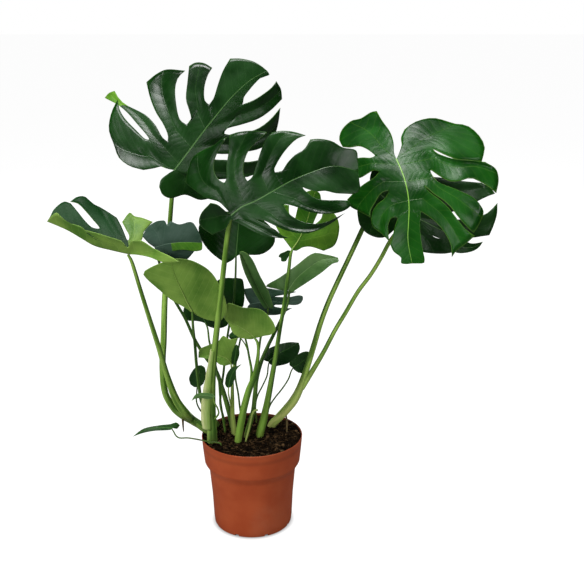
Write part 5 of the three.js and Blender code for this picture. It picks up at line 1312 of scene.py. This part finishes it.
def spinProfile(bm, points, sides):
    verts = [bm.verts.new(Vector((r, 0, z)) * mm) for r, z in points]
    geom = verts + [bm.edges.new(pair) for pair in zip(verts, verts[1:])]
    whole = 2 * math.pi
    bmesh.ops.spin(bm, geom=geom, cent=(0, 0, 0), axis=(0, 0, 1), angle=whole, steps=sides, use_merge=True)
    bmesh.ops.remove_doubles(bm, verts=bm.verts, dist=1e-6)
    bmesh.ops.recalc_face_normals(bm, faces=bm.faces)


def swung(x, y, z, turn):
    return Vector((x * math.cos(turn) - y * math.sin(turn), x * math.sin(turn) + y * math.cos(turn), z))


# The turned pot, with its drain slots cut through the foot and only its sharp edges creased.
def makePot():
    make = potMake
    bm = bmesh.new()
    profile = [(0, 0), *make["under"], *make["outside"], *make["inside"], (0, make["floor"])]
    spinProfile(bm, profile, make["sides"])
    piece = finishPiece("nursery_pot", bm, [potMaterial()], ["pot"])
    deep, wide, high = make["slotSize"]
    slots = bmesh.new()
    for k in range(make["slots"]):
        turn = 2 * math.pi * (k + 0.5) / make["slots"]
        for vert in bmesh.ops.create_cube(slots, size=1)["verts"]:
            x, z = vert.co.x * deep + make["slotAt"], vert.co.z * high + high / 2 - make["slotSunk"]
            vert.co = swung(x, vert.co.y * wide, z, turn) * mm
    cutter = meshObject("slotCutter", slots)
    cut = piece.modifiers.new("drain slots", "BOOLEAN")
    cut.operation = "DIFFERENCE"
    cut.object = cutter
    cut.solver = "EXACT"
    done = bpy.data.meshes.new_from_object(piece.evaluated_get(bpy.context.evaluated_depsgraph_get()))
    piece.modifiers.clear()
    piece.data = done
    bpy.data.objects.remove(cutter)
    creased = bmesh.new()
    creased.from_mesh(done)
    for edge in creased.edges:
        edge.smooth = edge.calc_face_angle(0) < math.radians(make["crease"])
    creased.to_mesh(done)
    creased.free()


makePot()
print("pot is turned")


def soilTop(x, y):
    r = math.hypot(x, y) / soilMake["radius"]
    dome = soilMake["edge"] + (soilMake["crown"] - soilMake["edge"]) * (1 - r * r)
    lumps = 0
    for pitch, layer, high in soilMake["lumps"]:
        lumps += noise.noise(Vector((x * pitch, y * pitch, layer))) * high
    return dome + lumps * clamp((1 - r) * 8, 0.25, 1)


def soilMaterial():
    make = soilMake
    material, tree, shader, place = newMaterial("pottingSoil")
    patches, grain = mottleOf(tree, place, *make["mottle"])
    colour = mixColour(tree, patches, *make["tones"])
    colour = tint(tree, colour, rampOf(tree, grain, *make["bits"]), make["bitShare"], make["bitTone"])
    coat(tree, shader, colour, rampOf(tree, patches, *make["rough"]), make["gloss"], grain, make["bump"])
    return material


soilPaint = soilMaterial()
fibrePaint = barkMaterial("soilFibre", (0.012, 0.007, 0.003), (0.080, 0.046, 0.020))
crumbMake = {"count": 1400, "spread": 0.985, "sizes": (0.9, 1.3, 1.9, 2.7, 3.6), "vary": (0.7, 1.2),
             "squash": ((0.6, 1.4), (0.5, 1.1), (0.35, 0.8)), "brown": 0.16, "dent": 0.25, "lift": 0.2}
fibreMake = {"count": 420, "spread": 78, "limit": 79, "points": 5, "lift": 0.7, "rise": 2.2, "bend": 1.1,
             "step": (1.6, 4), "thick": (0.18, 0.42), "endThick": 0.4, "sides": 5, "stepLength": 2.5}


def makeSoil():
    bm = bmesh.new()
    rings, flat = soilMake["rings"], soilMake["flat"]
    top = [(soilMake["radius"] * k / rings, flat) for k in range(rings - 1, 0, -1)]
    spinProfile(bm, [*soilMake["wall"], *top, (0, flat)], soilMake["sides"])
    for vert in bm.verts:
        if vert.co.z > (flat - 0.5) * mm:
            vert.co.z = soilTop(vert.co.x / mm, vert.co.y / mm) * mm
    finishPiece("soil_plug", bm, [soilPaint], ["soil"])


def makeCrumbs():
    make = crumbMake
    bm = bmesh.new()
    for k in range(make["count"]):
        turn = random.uniform(0, 2 * math.pi)
        r = soilMake["radius"] * math.sqrt(random.random()) * make["spread"]
        size = random.choice(make["sizes"]) * random.uniform(*make["vary"])
        x, y = r * math.cos(turn), r * math.sin(turn)
        lump = bmesh.ops.create_icosphere(bm, subdivisions=1, radius=1)["verts"]
        squash = Vector([random.uniform(*span) for span in make["squash"]])
        spin = random.uniform(0, math.pi)
        brown = 1 if random.random() < make["brown"] else 0
        for face in {f for vert in lump for f in vert.link_faces}:
            face.material_index = brown
        for vert in lump:
            p = vert.co * (1 + make["dent"] * noise.noise(vert.co * 2 + Vector((k, 0, 0)))) * squash * size
            vert.co = (swung(*p, spin) + Vector((x, y, soilTop(x, y) + size * make["lift"]))) * mm
    finishPiece("soil_crumbs", bm, [soilPaint, fibrePaint], smooth=False)


def makeFibres():
    make = fibreMake
    bm = bmesh.new()
    for _ in range(make["count"]):
        turn, r = random.uniform(0, 2 * math.pi), make["spread"] * math.sqrt(random.random())
        x, y = r * math.cos(turn), r * math.sin(turn)
        heading = random.uniform(0, 2 * math.pi)
        points = []
        for _ in range(make["points"]):
            if math.hypot(x, y) > make["limit"]:
                break
            points.append(Vector((x, y, soilTop(x, y) + make["lift"] + random.uniform(0, make["rise"]))))
            heading += random.uniform(-make["bend"], make["bend"])
            step = random.uniform(*make["step"])
            x, y = x + step * math.cos(heading), y + step * math.sin(heading)
        if len(points) > 2:
            thick = random.uniform(*make["thick"])
            radii = [thick] * (len(points) - 1) + [thick * make["endThick"]]
            addRun(bm, points, radii, make["sides"], make["stepLength"])
    bmesh.ops.recalc_face_normals(bm, faces=bm.faces)
    finishPiece("soil_fibres", bm, [fibrePaint])


makeSoil()
makeCrumbs()
makeFibres()
print("soil is filled")
